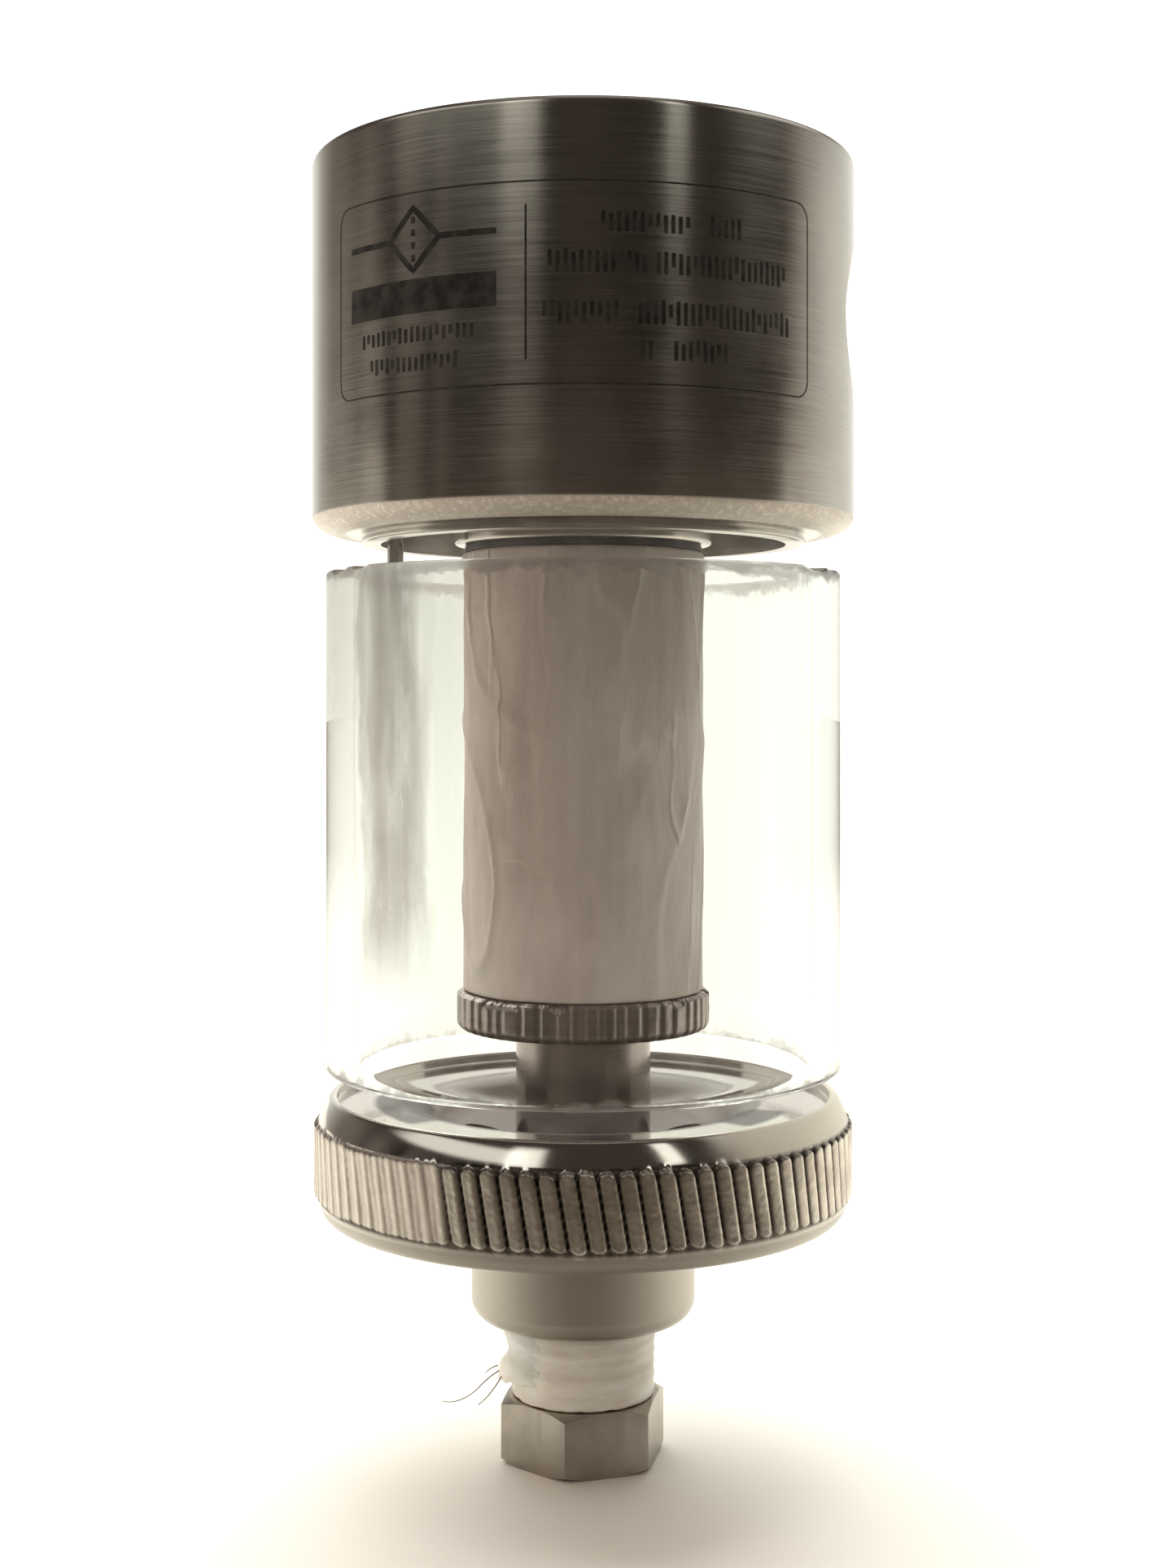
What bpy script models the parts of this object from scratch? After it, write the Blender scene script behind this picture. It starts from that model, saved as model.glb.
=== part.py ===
"""Compressed air filter with a glass bowl, built as its separate pieces.

A turned steel head with two side ports carries a tie rod, which holds a tubular filter element.
A knurled retainer nut clamps the element, a stem below the nut takes the knurled base, and the
base presses a glass tube and its two seals against the head. A hexagon drain plug, wrapped in
thread tape, closes the drain under the base.

Metres, +Z up, -Y is the front. The origin is on the filter's axis, under the drain plug.
"""

import math

import bmesh
import bpy
from mathutils import Matrix, Vector

MM = 0.001

# All sizes below are in millimetres and all heights are above the bottom of the drain plug.
GAP = 0.05  # between neighbours that touch, and around each thread
OVERSHOOT = 1.0  # how far a cutter reaches past the faces it cuts

HEAD_RADIUS = 20.0
HEAD_TOP = 95.4
HEAD_BOTTOM = 68.2
HEAD_TOP_CHAMFER = 0.4
HEAD_FILLET_WIDTH = 2.1
HEAD_FILLET_HEIGHT = 1.3
SPIGOT_RADIUS = 16.4
SPIGOT_BOTTOM = 67.5
SPIGOT_LIP_HEIGHT = 0.45
SPIGOT_NECK_RADIUS = 15.8
CHAMBER_RADIUS = 15.0
CHAMBER_TOP = 72.0
DRILLING_START = CHAMBER_TOP - OVERSHOOT  # of what is drilled up from the chamber
BOSS_RADIUS = 9.55
BOSS_CHAMFER = 0.3
OUTLET_BORE_RADIUS = 4.6
OUTLET_BORE_TOP = 86.5

PORT_HEIGHT = 83.6
PORT_TURN_DEG = -6.0  # the port axis, turned about +Z from +X
PORT_RADIUS = 4.9
PORT_MOUTH_RADIUS = 5.6
PORT_DEPTH = 10.5
INLET_DRILLING_OFFSET = 12.2
INLET_DRILLING_RADIUS = 2.2
OUTLET_DRILLING_RADIUS = 2.8

ROD_RADIUS = 3.0
ROD_TOP = 91.5
ROD_BOTTOM = 26.0

PIN_RADIUS = 0.6
PIN_OFFSET = 13.97
PIN_BOTTOM = 66.0
PIN_TOP = 74.0

GLASS_RADIUS = 19.0
GLASS_BORE_RADIUS = 17.0
GLASS_TOP = 65.4
GLASS_BOTTOM = 29.0
GLASS_CHAMFER = 0.2

TOP_SEAL_RADIUS = 18.3
BOTTOM_SEAL_RADIUS = 18.05
BOTTOM_SEAL_BORE_RADIUS = 16.8

ELEMENT_RADIUS = 9.07
ELEMENT_BORE_RADIUS = 6.0
ELEMENT_TOP = 66.95
GASKET_RADIUS = 8.8
GASKET_BORE_RADIUS = 5.2

NUT_RADIUS = 9.4
NUT_TOP = 34.7
NUT_BOTTOM = 31.9
NUT_EDGE_RADIUS = 0.6
NUT_BOSS_RADIUS = 5.7
NUT_BOSS_TOP = 36.7
NUT_FLUTES = 50
NUT_FLUTE_DEPTH = 0.25

STEM_RADIUS = 5.0
STEM_BOTTOM = 20.5
STEM_SOCKET_BOTTOM = 25.5
STEM_CHAMFER = 0.4

BASE_RADIUS = 20.0
BASE_FLOOR = 24.1
BASE_FLOOR_RADIUS = 9.0
SEAT_HEIGHT = 26.4
SEAT_INNER_RADIUS = 13.2
SEAT_OUTER_RADIUS = 18.2
SHOULDER_TOP = 27.1
SHOULDER_EDGE = 0.1
SHOULDER_CREST_RADIUS = 18.6
KNURL_TOP = 25.3
KNURL_BOTTOM = 19.8
BASE_BOTTOM = 18.3
BASE_BOTTOM_RADIUS = 18.4
BASE_FLUTES = 92
BASE_FLUTE_DEPTH = 0.4
BASE_FLUTE_SLANT_DEG = 8.0
FLUTE_LAND = 0.1  # how far the flutes' crests lie outside the round face, which leaves it a narrow land

COLLAR_RADIUS = 8.3
COLLAR_BOTTOM = 10.4
COLLAR_EDGE_RADIUS = 1.5
DRAIN_BORE_RADIUS = 5.4
DRAIN_BORE_TOP = 17.2
DRAIN_POCKET_RADIUS = 1.85
DRAIN_POCKET_OFFSET = 7.05
DRAIN_POCKET_FLOOR = 20.6
DRAIN_DRILLING_RADIUS = 0.9
DRAIN_DRILLING_START = 20.9
DRAIN_DRILLING_END = (3.5, 16.0)

PLUG_ACROSS_FLATS = 11.0
PLUG_HEX_TOP = 4.7
PLUG_TURN_DEG = -12.0  # from a corner at the front, turned about +Z
PLUG_CHAMFER_RADIUS = 5.6
PLUG_CHAMFER_SLOPE_DEG = 30.0
PLUG_SHANK_RADIUS = 4.95
PLUG_SHANK_TOP = 15.5
TAPE_RADIUS = 5.3
TAPE_BOTTOM = 4.8
TAPE_TOP = 14.2

WIDE_STEPS = 64
NARROW_STEPS = 40
PORT_STEPS = 32
DRILLING_STEPS = 20
SMALL_STEPS = 12
SHARP_ANGLE = math.radians(35.0)

# name: (colour, roughness, metallic)
FINISHES = {
    "brushed_steel": ((0.42, 0.39, 0.35), 0.32, 1.0),
    "polished_steel": ((0.60, 0.57, 0.53), 0.15, 1.0),
    "satin_steel": ((0.55, 0.52, 0.47), 0.40, 1.0),
    "glass": ((0.92, 0.95, 0.94), 0.03, 0.0),
    "clear_rubber": ((0.90, 0.90, 0.87), 0.30, 0.0),
    "black_rubber": ((0.03, 0.03, 0.03), 0.60, 0.0),
    "element": ((0.45, 0.40, 0.37), 0.85, 0.0),
    "tape": ((0.88, 0.88, 0.85), 0.55, 0.0),
}


def clear_scene():
    for obj in list(bpy.data.objects):
        bpy.data.objects.remove(obj)


def new_collection(name, hidden=False):
    collection = bpy.data.collections.new(name)
    collection.hide_render = hidden
    bpy.context.scene.collection.children.link(collection)
    return collection


def make_material(name):
    colour, roughness, metallic = FINISHES[name]
    material = bpy.data.materials.new(name)
    material.use_nodes = True
    shader = material.node_tree.nodes["Principled BSDF"]
    shader.inputs["Base Color"].default_value = (*colour, 1.0)
    shader.inputs["Roughness"].default_value = roughness
    shader.inputs["Metallic"].default_value = metallic
    material.diffuse_color = (*colour, 1.0)
    return material


def arc(centre, radii, start_deg, end_deg, steps=6):
    """Points (r, z) along an elliptical arc about a centre, both ends included."""
    points = []
    for i in range(steps + 1):
        angle = math.radians(start_deg + (end_deg - start_deg) * i / steps)
        points.append((centre[0] + radii[0] * math.cos(angle), centre[1] + radii[1] * math.sin(angle)))
    return points


def ring_outline(inner, outer, bottom, top, chamfer=0.0):
    """Closed section of a ring, down its outer side first, with its four corners chamfered."""
    c = chamfer
    if not c:
        return [(inner, top), (outer, top), (outer, bottom), (inner, bottom)]
    return [
        (inner + c, top),
        (outer - c, top),
        (outer, top - c),
        (outer, bottom + c),
        (outer - c, bottom),
        (inner + c, bottom),
        (inner, bottom + c),
        (inner, top - c),
    ]


def turned(name, outline, steps, closed=False):
    """A solid of revolution about Z from (r, z) points in millimetres."""
    points = [(r * MM, 0.0, z * MM) for r, z in outline]
    edges = [(i, i + 1) for i in range(len(points) - 1)]
    if closed:
        edges.append((len(points) - 1, 0))
    mesh = bpy.data.meshes.new(name)
    mesh.from_pydata(points, edges, [])
    obj = bpy.data.objects.new(name, mesh)
    screw = obj.modifiers.new("Turn", "SCREW")
    screw.steps = steps
    screw.render_steps = steps
    screw.use_merge_vertices = True
    screw.merge_threshold = 0.00001
    return obj


def cone_between(name, start, end, start_radius, end_radius, segments):
    """A closed cylinder or cone from one point to another, in millimetres."""
    start = Vector(start) * MM
    end = Vector(end) * MM
    along = end - start
    mesh = bpy.data.meshes.new(name)
    shape = bmesh.new()
    bmesh.ops.create_cone(
        shape,
        cap_ends=True,
        segments=segments,
        radius1=start_radius * MM,
        radius2=end_radius * MM,
        depth=along.length,
    )
    turn = along.to_track_quat("Z", "Y").to_matrix().to_4x4()
    shape.transform(Matrix.Translation((start + end) / 2) @ turn)
    shape.to_mesh(mesh)
    shape.free()
    return bpy.data.objects.new(name, mesh)


def flute_cutter(name, radius, depth, count, bottom, top, slant_deg=0.0):
    """A ring whose inner wall is a star, so cutting it away leaves flutes on a round band."""
    columns = 2 * count
    twist = (top - bottom) * math.tan(math.radians(slant_deg)) / radius
    mesh = bpy.data.meshes.new(name)
    shape = bmesh.new()
    rows = []
    for z, turn in ((bottom, twist / 2), (top, -twist / 2)):
        star = []
        rim = []
        for i in range(columns):
            angle = 2 * math.pi * i / columns + turn
            reach = radius + FLUTE_LAND if i % 2 else radius - depth
            direction = Vector((math.cos(angle), math.sin(angle), 0.0))
            star.append(shape.verts.new(direction * reach * MM + Vector((0, 0, z * MM))))
            rim.append(shape.verts.new(direction * (radius + OVERSHOOT) * MM + Vector((0, 0, z * MM))))
        rows.append((star, rim))
    (low_star, low_rim), (high_star, high_rim) = rows
    for i in range(columns):
        j = (i + 1) % columns
        shape.faces.new((low_rim[i], low_rim[j], high_rim[j], high_rim[i]))
        shape.faces.new((low_star[j], low_star[i], high_star[i], high_star[j]))
        shape.faces.new((high_star[i], high_rim[i], high_rim[j], high_star[j]))
        shape.faces.new((low_star[j], low_rim[j], low_rim[i], low_star[i]))
    shape.to_mesh(mesh)
    shape.free()
    return bpy.data.objects.new(name, mesh)


class Workshop:
    """Puts finished parts and their cutters in the two collections."""

    def __init__(self):
        self.parts = new_collection("air_filter")
        self.cutters = new_collection("cutters", hidden=True)
        self.materials = {name: make_material(name) for name in FINISHES}

    def combine(self, obj, cutters, operation):
        for cutter in cutters:
            self.cutters.objects.link(cutter)
            cutter.hide_render = True
            cutter.display_type = "WIRE"
            boolean = obj.modifiers.new(cutter.name, "BOOLEAN")
            boolean.operation = operation
            boolean.object = cutter

    def add(self, obj, finish, cutters=(), envelopes=()):
        """Cuts the part, keeps what lies inside its envelopes, and shades its round faces smooth."""
        self.parts.objects.link(obj)
        self.combine(obj, cutters, "DIFFERENCE")
        self.combine(obj, envelopes, "INTERSECT")
        bpy.context.view_layer.update()
        graph = bpy.context.evaluated_depsgraph_get()
        mesh = bpy.data.meshes.new_from_object(obj.evaluated_get(graph))
        mesh.name = obj.name
        obj.modifiers.clear()
        obj.data = mesh
        mesh.shade_smooth()
        mesh.set_sharp_from_angle(angle=SHARP_ANGLE)
        mesh.materials.clear()
        mesh.materials.append(self.materials[finish])


def port_point(distance, height=PORT_HEIGHT):
    """A point on the port axis, this far from the filter's axis towards the inlet."""
    turn = math.radians(PORT_TURN_DEG)
    return (distance * math.cos(turn), distance * math.sin(turn), height)


def port_cutters(name, side):
    """A side port with its chamfered mouth; side is +1 for the inlet and -1 for the outlet."""
    flare = HEAD_RADIUS + PORT_RADIUS - PORT_MOUTH_RADIUS
    outside = port_point(side * (HEAD_RADIUS + OVERSHOOT))
    bore = cone_between(
        name + "_bore",
        outside,
        port_point(side * (HEAD_RADIUS - PORT_DEPTH)),
        PORT_RADIUS,
        PORT_RADIUS,
        PORT_STEPS,
    )
    mouth = cone_between(
        name + "_mouth",
        outside,
        port_point(side * flare),
        PORT_MOUTH_RADIUS + OVERSHOOT,
        PORT_RADIUS,
        PORT_STEPS,
    )
    return [bore, mouth]


def head_outline():
    """From the top's centre down the outside, then up into the chamber and the outlet bore."""
    fillet_top = HEAD_BOTTOM + HEAD_FILLET_HEIGHT
    fillet_inner = HEAD_RADIUS - HEAD_FILLET_WIDTH
    lip_top = SPIGOT_BOTTOM + SPIGOT_LIP_HEIGHT
    fillet = arc((fillet_inner, fillet_top), (HEAD_FILLET_WIDTH, HEAD_FILLET_HEIGHT), 0, -90)
    return [
        (0, HEAD_TOP),
        (HEAD_RADIUS - HEAD_TOP_CHAMFER, HEAD_TOP),
        (HEAD_RADIUS, HEAD_TOP - HEAD_TOP_CHAMFER),
        *fillet,
        (SPIGOT_NECK_RADIUS, HEAD_BOTTOM),
        (SPIGOT_NECK_RADIUS, lip_top),
        (SPIGOT_RADIUS, lip_top),
        (SPIGOT_RADIUS, SPIGOT_BOTTOM),
        (CHAMBER_RADIUS, SPIGOT_BOTTOM),
        (CHAMBER_RADIUS, CHAMBER_TOP),
        (BOSS_RADIUS, CHAMBER_TOP),
        (BOSS_RADIUS, SPIGOT_BOTTOM + BOSS_CHAMFER),
        (BOSS_RADIUS - BOSS_CHAMFER, SPIGOT_BOTTOM),
        (OUTLET_BORE_RADIUS, SPIGOT_BOTTOM),
        (OUTLET_BORE_RADIUS, OUTLET_BORE_TOP),
        (ROD_RADIUS + GAP, OUTLET_BORE_TOP),
        (ROD_RADIUS + GAP, ROD_TOP + GAP),
        (0, ROD_TOP + GAP),
    ]


def add_head(shop):
    inlet_drilling = cone_between(
        "inlet_drilling",
        port_point(INLET_DRILLING_OFFSET, DRILLING_START),
        port_point(INLET_DRILLING_OFFSET),
        INLET_DRILLING_RADIUS,
        INLET_DRILLING_RADIUS,
        DRILLING_STEPS,
    )
    outlet_drilling = cone_between(
        "outlet_drilling",
        port_point(-(HEAD_RADIUS - PORT_DEPTH + OVERSHOOT)),
        port_point(-OUTLET_BORE_RADIUS / 2),
        OUTLET_DRILLING_RADIUS,
        OUTLET_DRILLING_RADIUS,
        DRILLING_STEPS,
    )
    pin_hole = cone_between(
        "pin_hole",
        (-PIN_OFFSET, 0, DRILLING_START),
        (-PIN_OFFSET, 0, PIN_TOP + GAP),
        PIN_RADIUS + GAP,
        PIN_RADIUS + GAP,
        SMALL_STEPS,
    )
    cutters = [
        *port_cutters("inlet", 1),
        *port_cutters("outlet", -1),
        inlet_drilling,
        outlet_drilling,
        pin_hole,
    ]
    shop.add(turned("head", head_outline(), WIDE_STEPS), "brushed_steel", cutters)


def add_head_fittings(shop):
    """The tie rod, the locating pin, the bowl's top seal and the element's top gasket."""
    rod = cone_between("tie_rod", (0, 0, ROD_BOTTOM), (0, 0, ROD_TOP), ROD_RADIUS, ROD_RADIUS, NARROW_STEPS)
    shop.add(rod, "satin_steel")
    pin = cone_between(
        "locating_pin",
        (-PIN_OFFSET, 0, PIN_BOTTOM),
        (-PIN_OFFSET, 0, PIN_TOP),
        PIN_RADIUS,
        PIN_RADIUS,
        SMALL_STEPS,
    )
    shop.add(pin, "polished_steel")
    seal = ring_outline(SPIGOT_RADIUS + GAP, TOP_SEAL_RADIUS, GLASS_TOP + GAP, HEAD_BOTTOM - GAP)
    shop.add(turned("top_bowl_seal", seal, WIDE_STEPS, closed=True), "clear_rubber")
    gasket = ring_outline(GASKET_BORE_RADIUS, GASKET_RADIUS, ELEMENT_TOP + GAP, SPIGOT_BOTTOM - GAP)
    shop.add(turned("element_top_gasket", gasket, NARROW_STEPS, closed=True), "black_rubber")


def add_element(shop):
    outline = ring_outline(ELEMENT_BORE_RADIUS, ELEMENT_RADIUS, NUT_TOP + GAP, ELEMENT_TOP)
    shop.add(turned("filter_element", outline, NARROW_STEPS, closed=True), "element")


def add_retainer(shop):
    """The nut with its centring boss, and the stem that carries the base."""
    bore = ROD_RADIUS + GAP
    edge = arc(
        (NUT_RADIUS - NUT_EDGE_RADIUS, NUT_BOTTOM + NUT_EDGE_RADIUS),
        (NUT_EDGE_RADIUS, NUT_EDGE_RADIUS),
        0,
        -90,
        steps=3,
    )
    nut = [
        (bore, NUT_BOSS_TOP),
        (NUT_BOSS_RADIUS, NUT_BOSS_TOP),
        (NUT_BOSS_RADIUS, NUT_TOP),
        (NUT_RADIUS, NUT_TOP),
        *edge,
        (bore, NUT_BOTTOM),
    ]
    flutes = flute_cutter(
        "nut_flutes",
        NUT_RADIUS,
        NUT_FLUTE_DEPTH,
        NUT_FLUTES,
        NUT_BOTTOM - OVERSHOOT,
        NUT_TOP + OVERSHOOT,
    )
    shop.add(turned("retainer_nut", nut, NARROW_STEPS, closed=True), "satin_steel", [flutes])

    stem_top = NUT_BOTTOM - GAP
    stem = [
        (0, STEM_SOCKET_BOTTOM),
        (bore, STEM_SOCKET_BOTTOM),
        (bore, stem_top),
        (STEM_RADIUS, stem_top),
        (STEM_RADIUS, STEM_BOTTOM + STEM_CHAMFER),
        (STEM_RADIUS - STEM_CHAMFER, STEM_BOTTOM),
        (0, STEM_BOTTOM),
    ]
    shop.add(turned("stem", stem, NARROW_STEPS), "polished_steel")


def add_bowl(shop):
    glass = ring_outline(GLASS_BORE_RADIUS, GLASS_RADIUS, GLASS_BOTTOM, GLASS_TOP, GLASS_CHAMFER)
    shop.add(turned("glass_bowl", glass, WIDE_STEPS, closed=True), "glass")
    seal = ring_outline(
        BOTTOM_SEAL_BORE_RADIUS,
        BOTTOM_SEAL_RADIUS,
        SEAT_HEIGHT + GAP,
        GLASS_BOTTOM - GAP,
    )
    shop.add(turned("bottom_bowl_seal", seal, WIDE_STEPS, closed=True), "clear_rubber")


def base_outline():
    """From the floor over its rounded wall, the glass's seat and the shoulder to the drain collar."""
    wall = arc(
        (SEAT_INNER_RADIUS, BASE_FLOOR),
        (SEAT_INNER_RADIUS - BASE_FLOOR_RADIUS, SEAT_HEIGHT - BASE_FLOOR),
        180,
        90,
        steps=8,
    )
    shoulder = arc(
        (SHOULDER_CREST_RADIUS, KNURL_TOP),
        (BASE_RADIUS - SHOULDER_CREST_RADIUS, SHOULDER_TOP - KNURL_TOP),
        90,
        0,
        steps=5,
    )
    lower_fillet = arc(
        (BASE_BOTTOM_RADIUS, KNURL_BOTTOM),
        (BASE_RADIUS - BASE_BOTTOM_RADIUS, KNURL_BOTTOM - BASE_BOTTOM),
        0,
        -90,
        steps=5,
    )
    collar_edge = arc(
        (COLLAR_RADIUS - COLLAR_EDGE_RADIUS, COLLAR_BOTTOM + COLLAR_EDGE_RADIUS),
        (COLLAR_EDGE_RADIUS, COLLAR_EDGE_RADIUS),
        0,
        -90,
        steps=5,
    )
    return [
        (0, BASE_FLOOR),
        *wall,
        (SEAT_OUTER_RADIUS, SEAT_HEIGHT),
        (SEAT_OUTER_RADIUS, SHOULDER_TOP - SHOULDER_EDGE),
        *shoulder,
        *lower_fillet,
        (COLLAR_RADIUS, BASE_BOTTOM),
        *collar_edge,
        (0, COLLAR_BOTTOM),
    ]


def drain_cutters():
    """The pockets beside the stem and the drillings that lead from them into the drain bore."""
    cutters = []
    end_offset, end_height = DRAIN_DRILLING_END
    for side in (-1, 1):
        name = "left" if side < 0 else "right"
        pocket = cone_between(
            name + "_drain_pocket",
            (side * DRAIN_POCKET_OFFSET, 0, DRAIN_POCKET_FLOOR),
            (side * DRAIN_POCKET_OFFSET, 0, BASE_FLOOR + OVERSHOOT),
            DRAIN_POCKET_RADIUS,
            DRAIN_POCKET_RADIUS,
            DRILLING_STEPS,
        )
        drilling = cone_between(
            name + "_drain_drilling",
            (side * DRAIN_POCKET_OFFSET, 0, DRAIN_DRILLING_START),
            (side * end_offset, 0, end_height),
            DRAIN_DRILLING_RADIUS,
            DRAIN_DRILLING_RADIUS,
            SMALL_STEPS,
        )
        cutters += [pocket, drilling]
    return cutters


def add_base(shop):
    stem_bore = STEM_RADIUS + GAP
    flutes = flute_cutter(
        "base_flutes",
        BASE_RADIUS,
        BASE_FLUTE_DEPTH,
        BASE_FLUTES,
        KNURL_BOTTOM,
        KNURL_TOP,
        BASE_FLUTE_SLANT_DEG,
    )
    stem_socket = cone_between(
        "stem_socket",
        (0, 0, STEM_BOTTOM - GAP),
        (0, 0, BASE_FLOOR + OVERSHOOT),
        stem_bore,
        stem_bore,
        NARROW_STEPS,
    )
    drain_bore = cone_between(
        "drain_bore",
        (0, 0, COLLAR_BOTTOM - OVERSHOOT),
        (0, 0, DRAIN_BORE_TOP),
        DRAIN_BORE_RADIUS,
        DRAIN_BORE_RADIUS,
        NARROW_STEPS,
    )
    cutters = [flutes, stem_socket, drain_bore, *drain_cutters()]
    shop.add(turned("knurled_base", base_outline(), WIDE_STEPS), "polished_steel", cutters)


def plug_chamfer(name, low, high, rise):
    """A turned block whose top and bottom cones round the corners of the hexagon."""
    reach = PLUG_ACROSS_FLATS
    drop = (reach - PLUG_CHAMFER_RADIUS) * math.tan(math.radians(PLUG_CHAMFER_SLOPE_DEG))
    outline = [
        (0, high + rise),
        (PLUG_SHANK_RADIUS, high + rise),
        (PLUG_SHANK_RADIUS, high),
        (PLUG_CHAMFER_RADIUS, high),
        (reach, high - drop),
        (reach, low + drop),
        (PLUG_CHAMFER_RADIUS, low),
        (0, low),
    ]
    if drop * 2 > high - low:
        middle = (high + low) / 2
        meet = PLUG_CHAMFER_RADIUS + (middle - low) / math.tan(math.radians(PLUG_CHAMFER_SLOPE_DEG))
        outline[4:6] = [(meet, middle)]
    return turned(name, outline, NARROW_STEPS)


def add_drain_plug(shop):
    """The hexagon and its shank, cut from a bar by the turned envelope, and the tape on the thread."""
    envelope = plug_chamfer("plug_envelope", 0.0, PLUG_HEX_TOP, PLUG_SHANK_TOP - PLUG_HEX_TOP)
    corner_radius = PLUG_ACROSS_FLATS / math.sqrt(3.0)
    bar_top = PLUG_SHANK_TOP + OVERSHOOT
    plug = cone_between("drain_plug", (0, 0, -OVERSHOOT), (0, 0, bar_top), corner_radius, corner_radius, 6)
    plug.data.transform(Matrix.Rotation(math.radians(PLUG_TURN_DEG), 4, "Z"))
    shop.add(plug, "satin_steel", envelopes=[envelope])
    tape = ring_outline(PLUG_SHANK_RADIUS + GAP, TAPE_RADIUS, TAPE_BOTTOM, TAPE_TOP)
    shop.add(turned("thread_tape", tape, NARROW_STEPS, closed=True), "tape")


def main():
    clear_scene()
    shop = Workshop()
    add_head(shop)
    add_head_fittings(shop)
    add_element(shop)
    add_retainer(shop)
    add_bowl(shop)
    add_base(shop)
    add_drain_plug(shop)


main()
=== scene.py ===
"""The looks of the compressed air filter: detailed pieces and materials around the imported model.

Lengths are in millimetres unless a name says otherwise, and become metres where a mesh is made. An azimuth
is an angle around the filter's axis, 0 at the front (-Y) and positive towards the inlet port (+X).
"""

import math
import random

import bmesh
import bpy
from mathutils import Matrix, Vector, noise


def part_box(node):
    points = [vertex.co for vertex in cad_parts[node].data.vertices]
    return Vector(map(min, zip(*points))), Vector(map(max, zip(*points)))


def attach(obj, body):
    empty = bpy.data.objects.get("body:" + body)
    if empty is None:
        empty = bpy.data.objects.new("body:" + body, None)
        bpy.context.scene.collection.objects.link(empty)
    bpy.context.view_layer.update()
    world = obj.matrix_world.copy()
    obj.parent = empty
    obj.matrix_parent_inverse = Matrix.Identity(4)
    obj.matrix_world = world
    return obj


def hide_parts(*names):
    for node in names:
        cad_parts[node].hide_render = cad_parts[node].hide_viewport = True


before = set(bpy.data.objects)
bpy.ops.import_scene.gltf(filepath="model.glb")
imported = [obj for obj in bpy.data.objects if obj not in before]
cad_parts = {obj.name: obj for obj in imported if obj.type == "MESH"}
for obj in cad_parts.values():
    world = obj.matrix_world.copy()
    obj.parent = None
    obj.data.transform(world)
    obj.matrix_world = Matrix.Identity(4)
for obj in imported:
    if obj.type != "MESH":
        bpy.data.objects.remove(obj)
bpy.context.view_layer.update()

MM = 0.001
TAU = 2 * math.pi
SHARP_ANGLE = math.radians(32)


def span(node):
    """(outer radius, lowest height, highest height) of a CAD node turned about the axis."""
    low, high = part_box(node)
    return (high.x - low.x) / 2 / MM, low.z / MM, high.z / MM


# ---------------------------------------------------------------- meshes


def arc(centre, size, start_deg, end_deg, steps):
    """Points (r, z) along an arc, both ends included. Its size is a radius or a pair, (across, up)."""
    across, up = size if isinstance(size, tuple) else (size, size)
    points = []
    for i in range(steps + 1):
        angle = math.radians(start_deg + (end_deg - start_deg) * i / steps)
        points.append((centre[0] + across * math.cos(angle), centre[1] + up * math.sin(angle)))
    return points


def on_circle(centre, radius, angle_deg):
    return arc(centre, radius, angle_deg, angle_deg, 1)[0]


def upper_edge(radius, top, edge, steps=4):
    """The rounded edge at the top of a turned shape's outer side."""
    return arc((radius - edge, top - edge), edge, 90, 0, steps)


def lower_edge(radius, bottom, edge, steps=4):
    return arc((radius - edge, bottom + edge), edge, 0, -90, steps)


def dense(outline, step):
    """The same outline with points added so that none are further apart than step."""
    points = [outline[0]]
    for (r0, z0), (r1, z1) in zip(outline, outline[1:]):
        count = max(1, math.ceil(math.hypot(r1 - r0, z1 - z0) / step))
        for i in range(1, count + 1):
            points.append((r0 + (r1 - r0) * i / count, z0 + (z1 - z0) * i / count))
    return points


def ring_outline(inner, outer, bottom, top, edge):
    """Closed section of a ring with rounded corners, down its outer side first."""
    lower_inside = arc((inner + edge, bottom + edge), edge, 270, 180, 4)
    upper_inside = arc((inner + edge, top - edge), edge, 180, 90, 4)
    return upper_edge(outer, top, edge) + lower_edge(outer, bottom, edge) + lower_inside + upper_inside


def round_point(azimuth, radius, height):
    return radius * math.sin(azimuth), -radius * math.cos(azimuth), height


def metres(point):
    return tuple(value * MM for value in point)


def linked(name, data):
    """A new object in the scene."""
    obj = bpy.data.objects.new(name, data)
    bpy.context.scene.collection.objects.link(obj)
    return obj


def shade(mesh, sharp=SHARP_ANGLE):
    mesh.shade_smooth()
    mesh.set_sharp_from_angle(angle=sharp)


def mesh_object(name, points, faces, sharp=SHARP_ANGLE):
    """An object made of points in metres and faces."""
    mesh = bpy.data.meshes.new(name)
    mesh.from_pydata(points, [], faces)
    mesh.validate()
    shade(mesh, sharp)
    return linked(name, mesh)


def lathe(name, outline, columns, closed=False, shape=None, sharp=SHARP_ANGLE):
    """A turned piece. shape(azimuth, r, z) may return another (r, z) for each point."""
    points = []
    rings = []
    for r, z in outline:
        if r < 1e-6:
            rings.append([len(points)] * columns)
            points.append((0.0, 0.0, z * MM))
            continue
        rings.append(list(range(len(points), len(points) + columns)))
        for i in range(columns):
            azimuth = TAU * i / columns
            radius, height = shape(azimuth, r, z) if shape else (r, z)
            points.append(metres(round_point(azimuth, radius, height)))
    if closed:
        rings.append(rings[0])
    faces = []
    for upper, lower in zip(rings, rings[1:]):
        for i in range(columns):
            j = (i + 1) % columns
            corners = [upper[i], lower[i], lower[j], upper[j]]
            face = [v for k, v in enumerate(corners) if v != corners[k - 1]]
            if len(face) > 2:
                faces.append(face)
    return mesh_object(name, points, faces, sharp)


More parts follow.
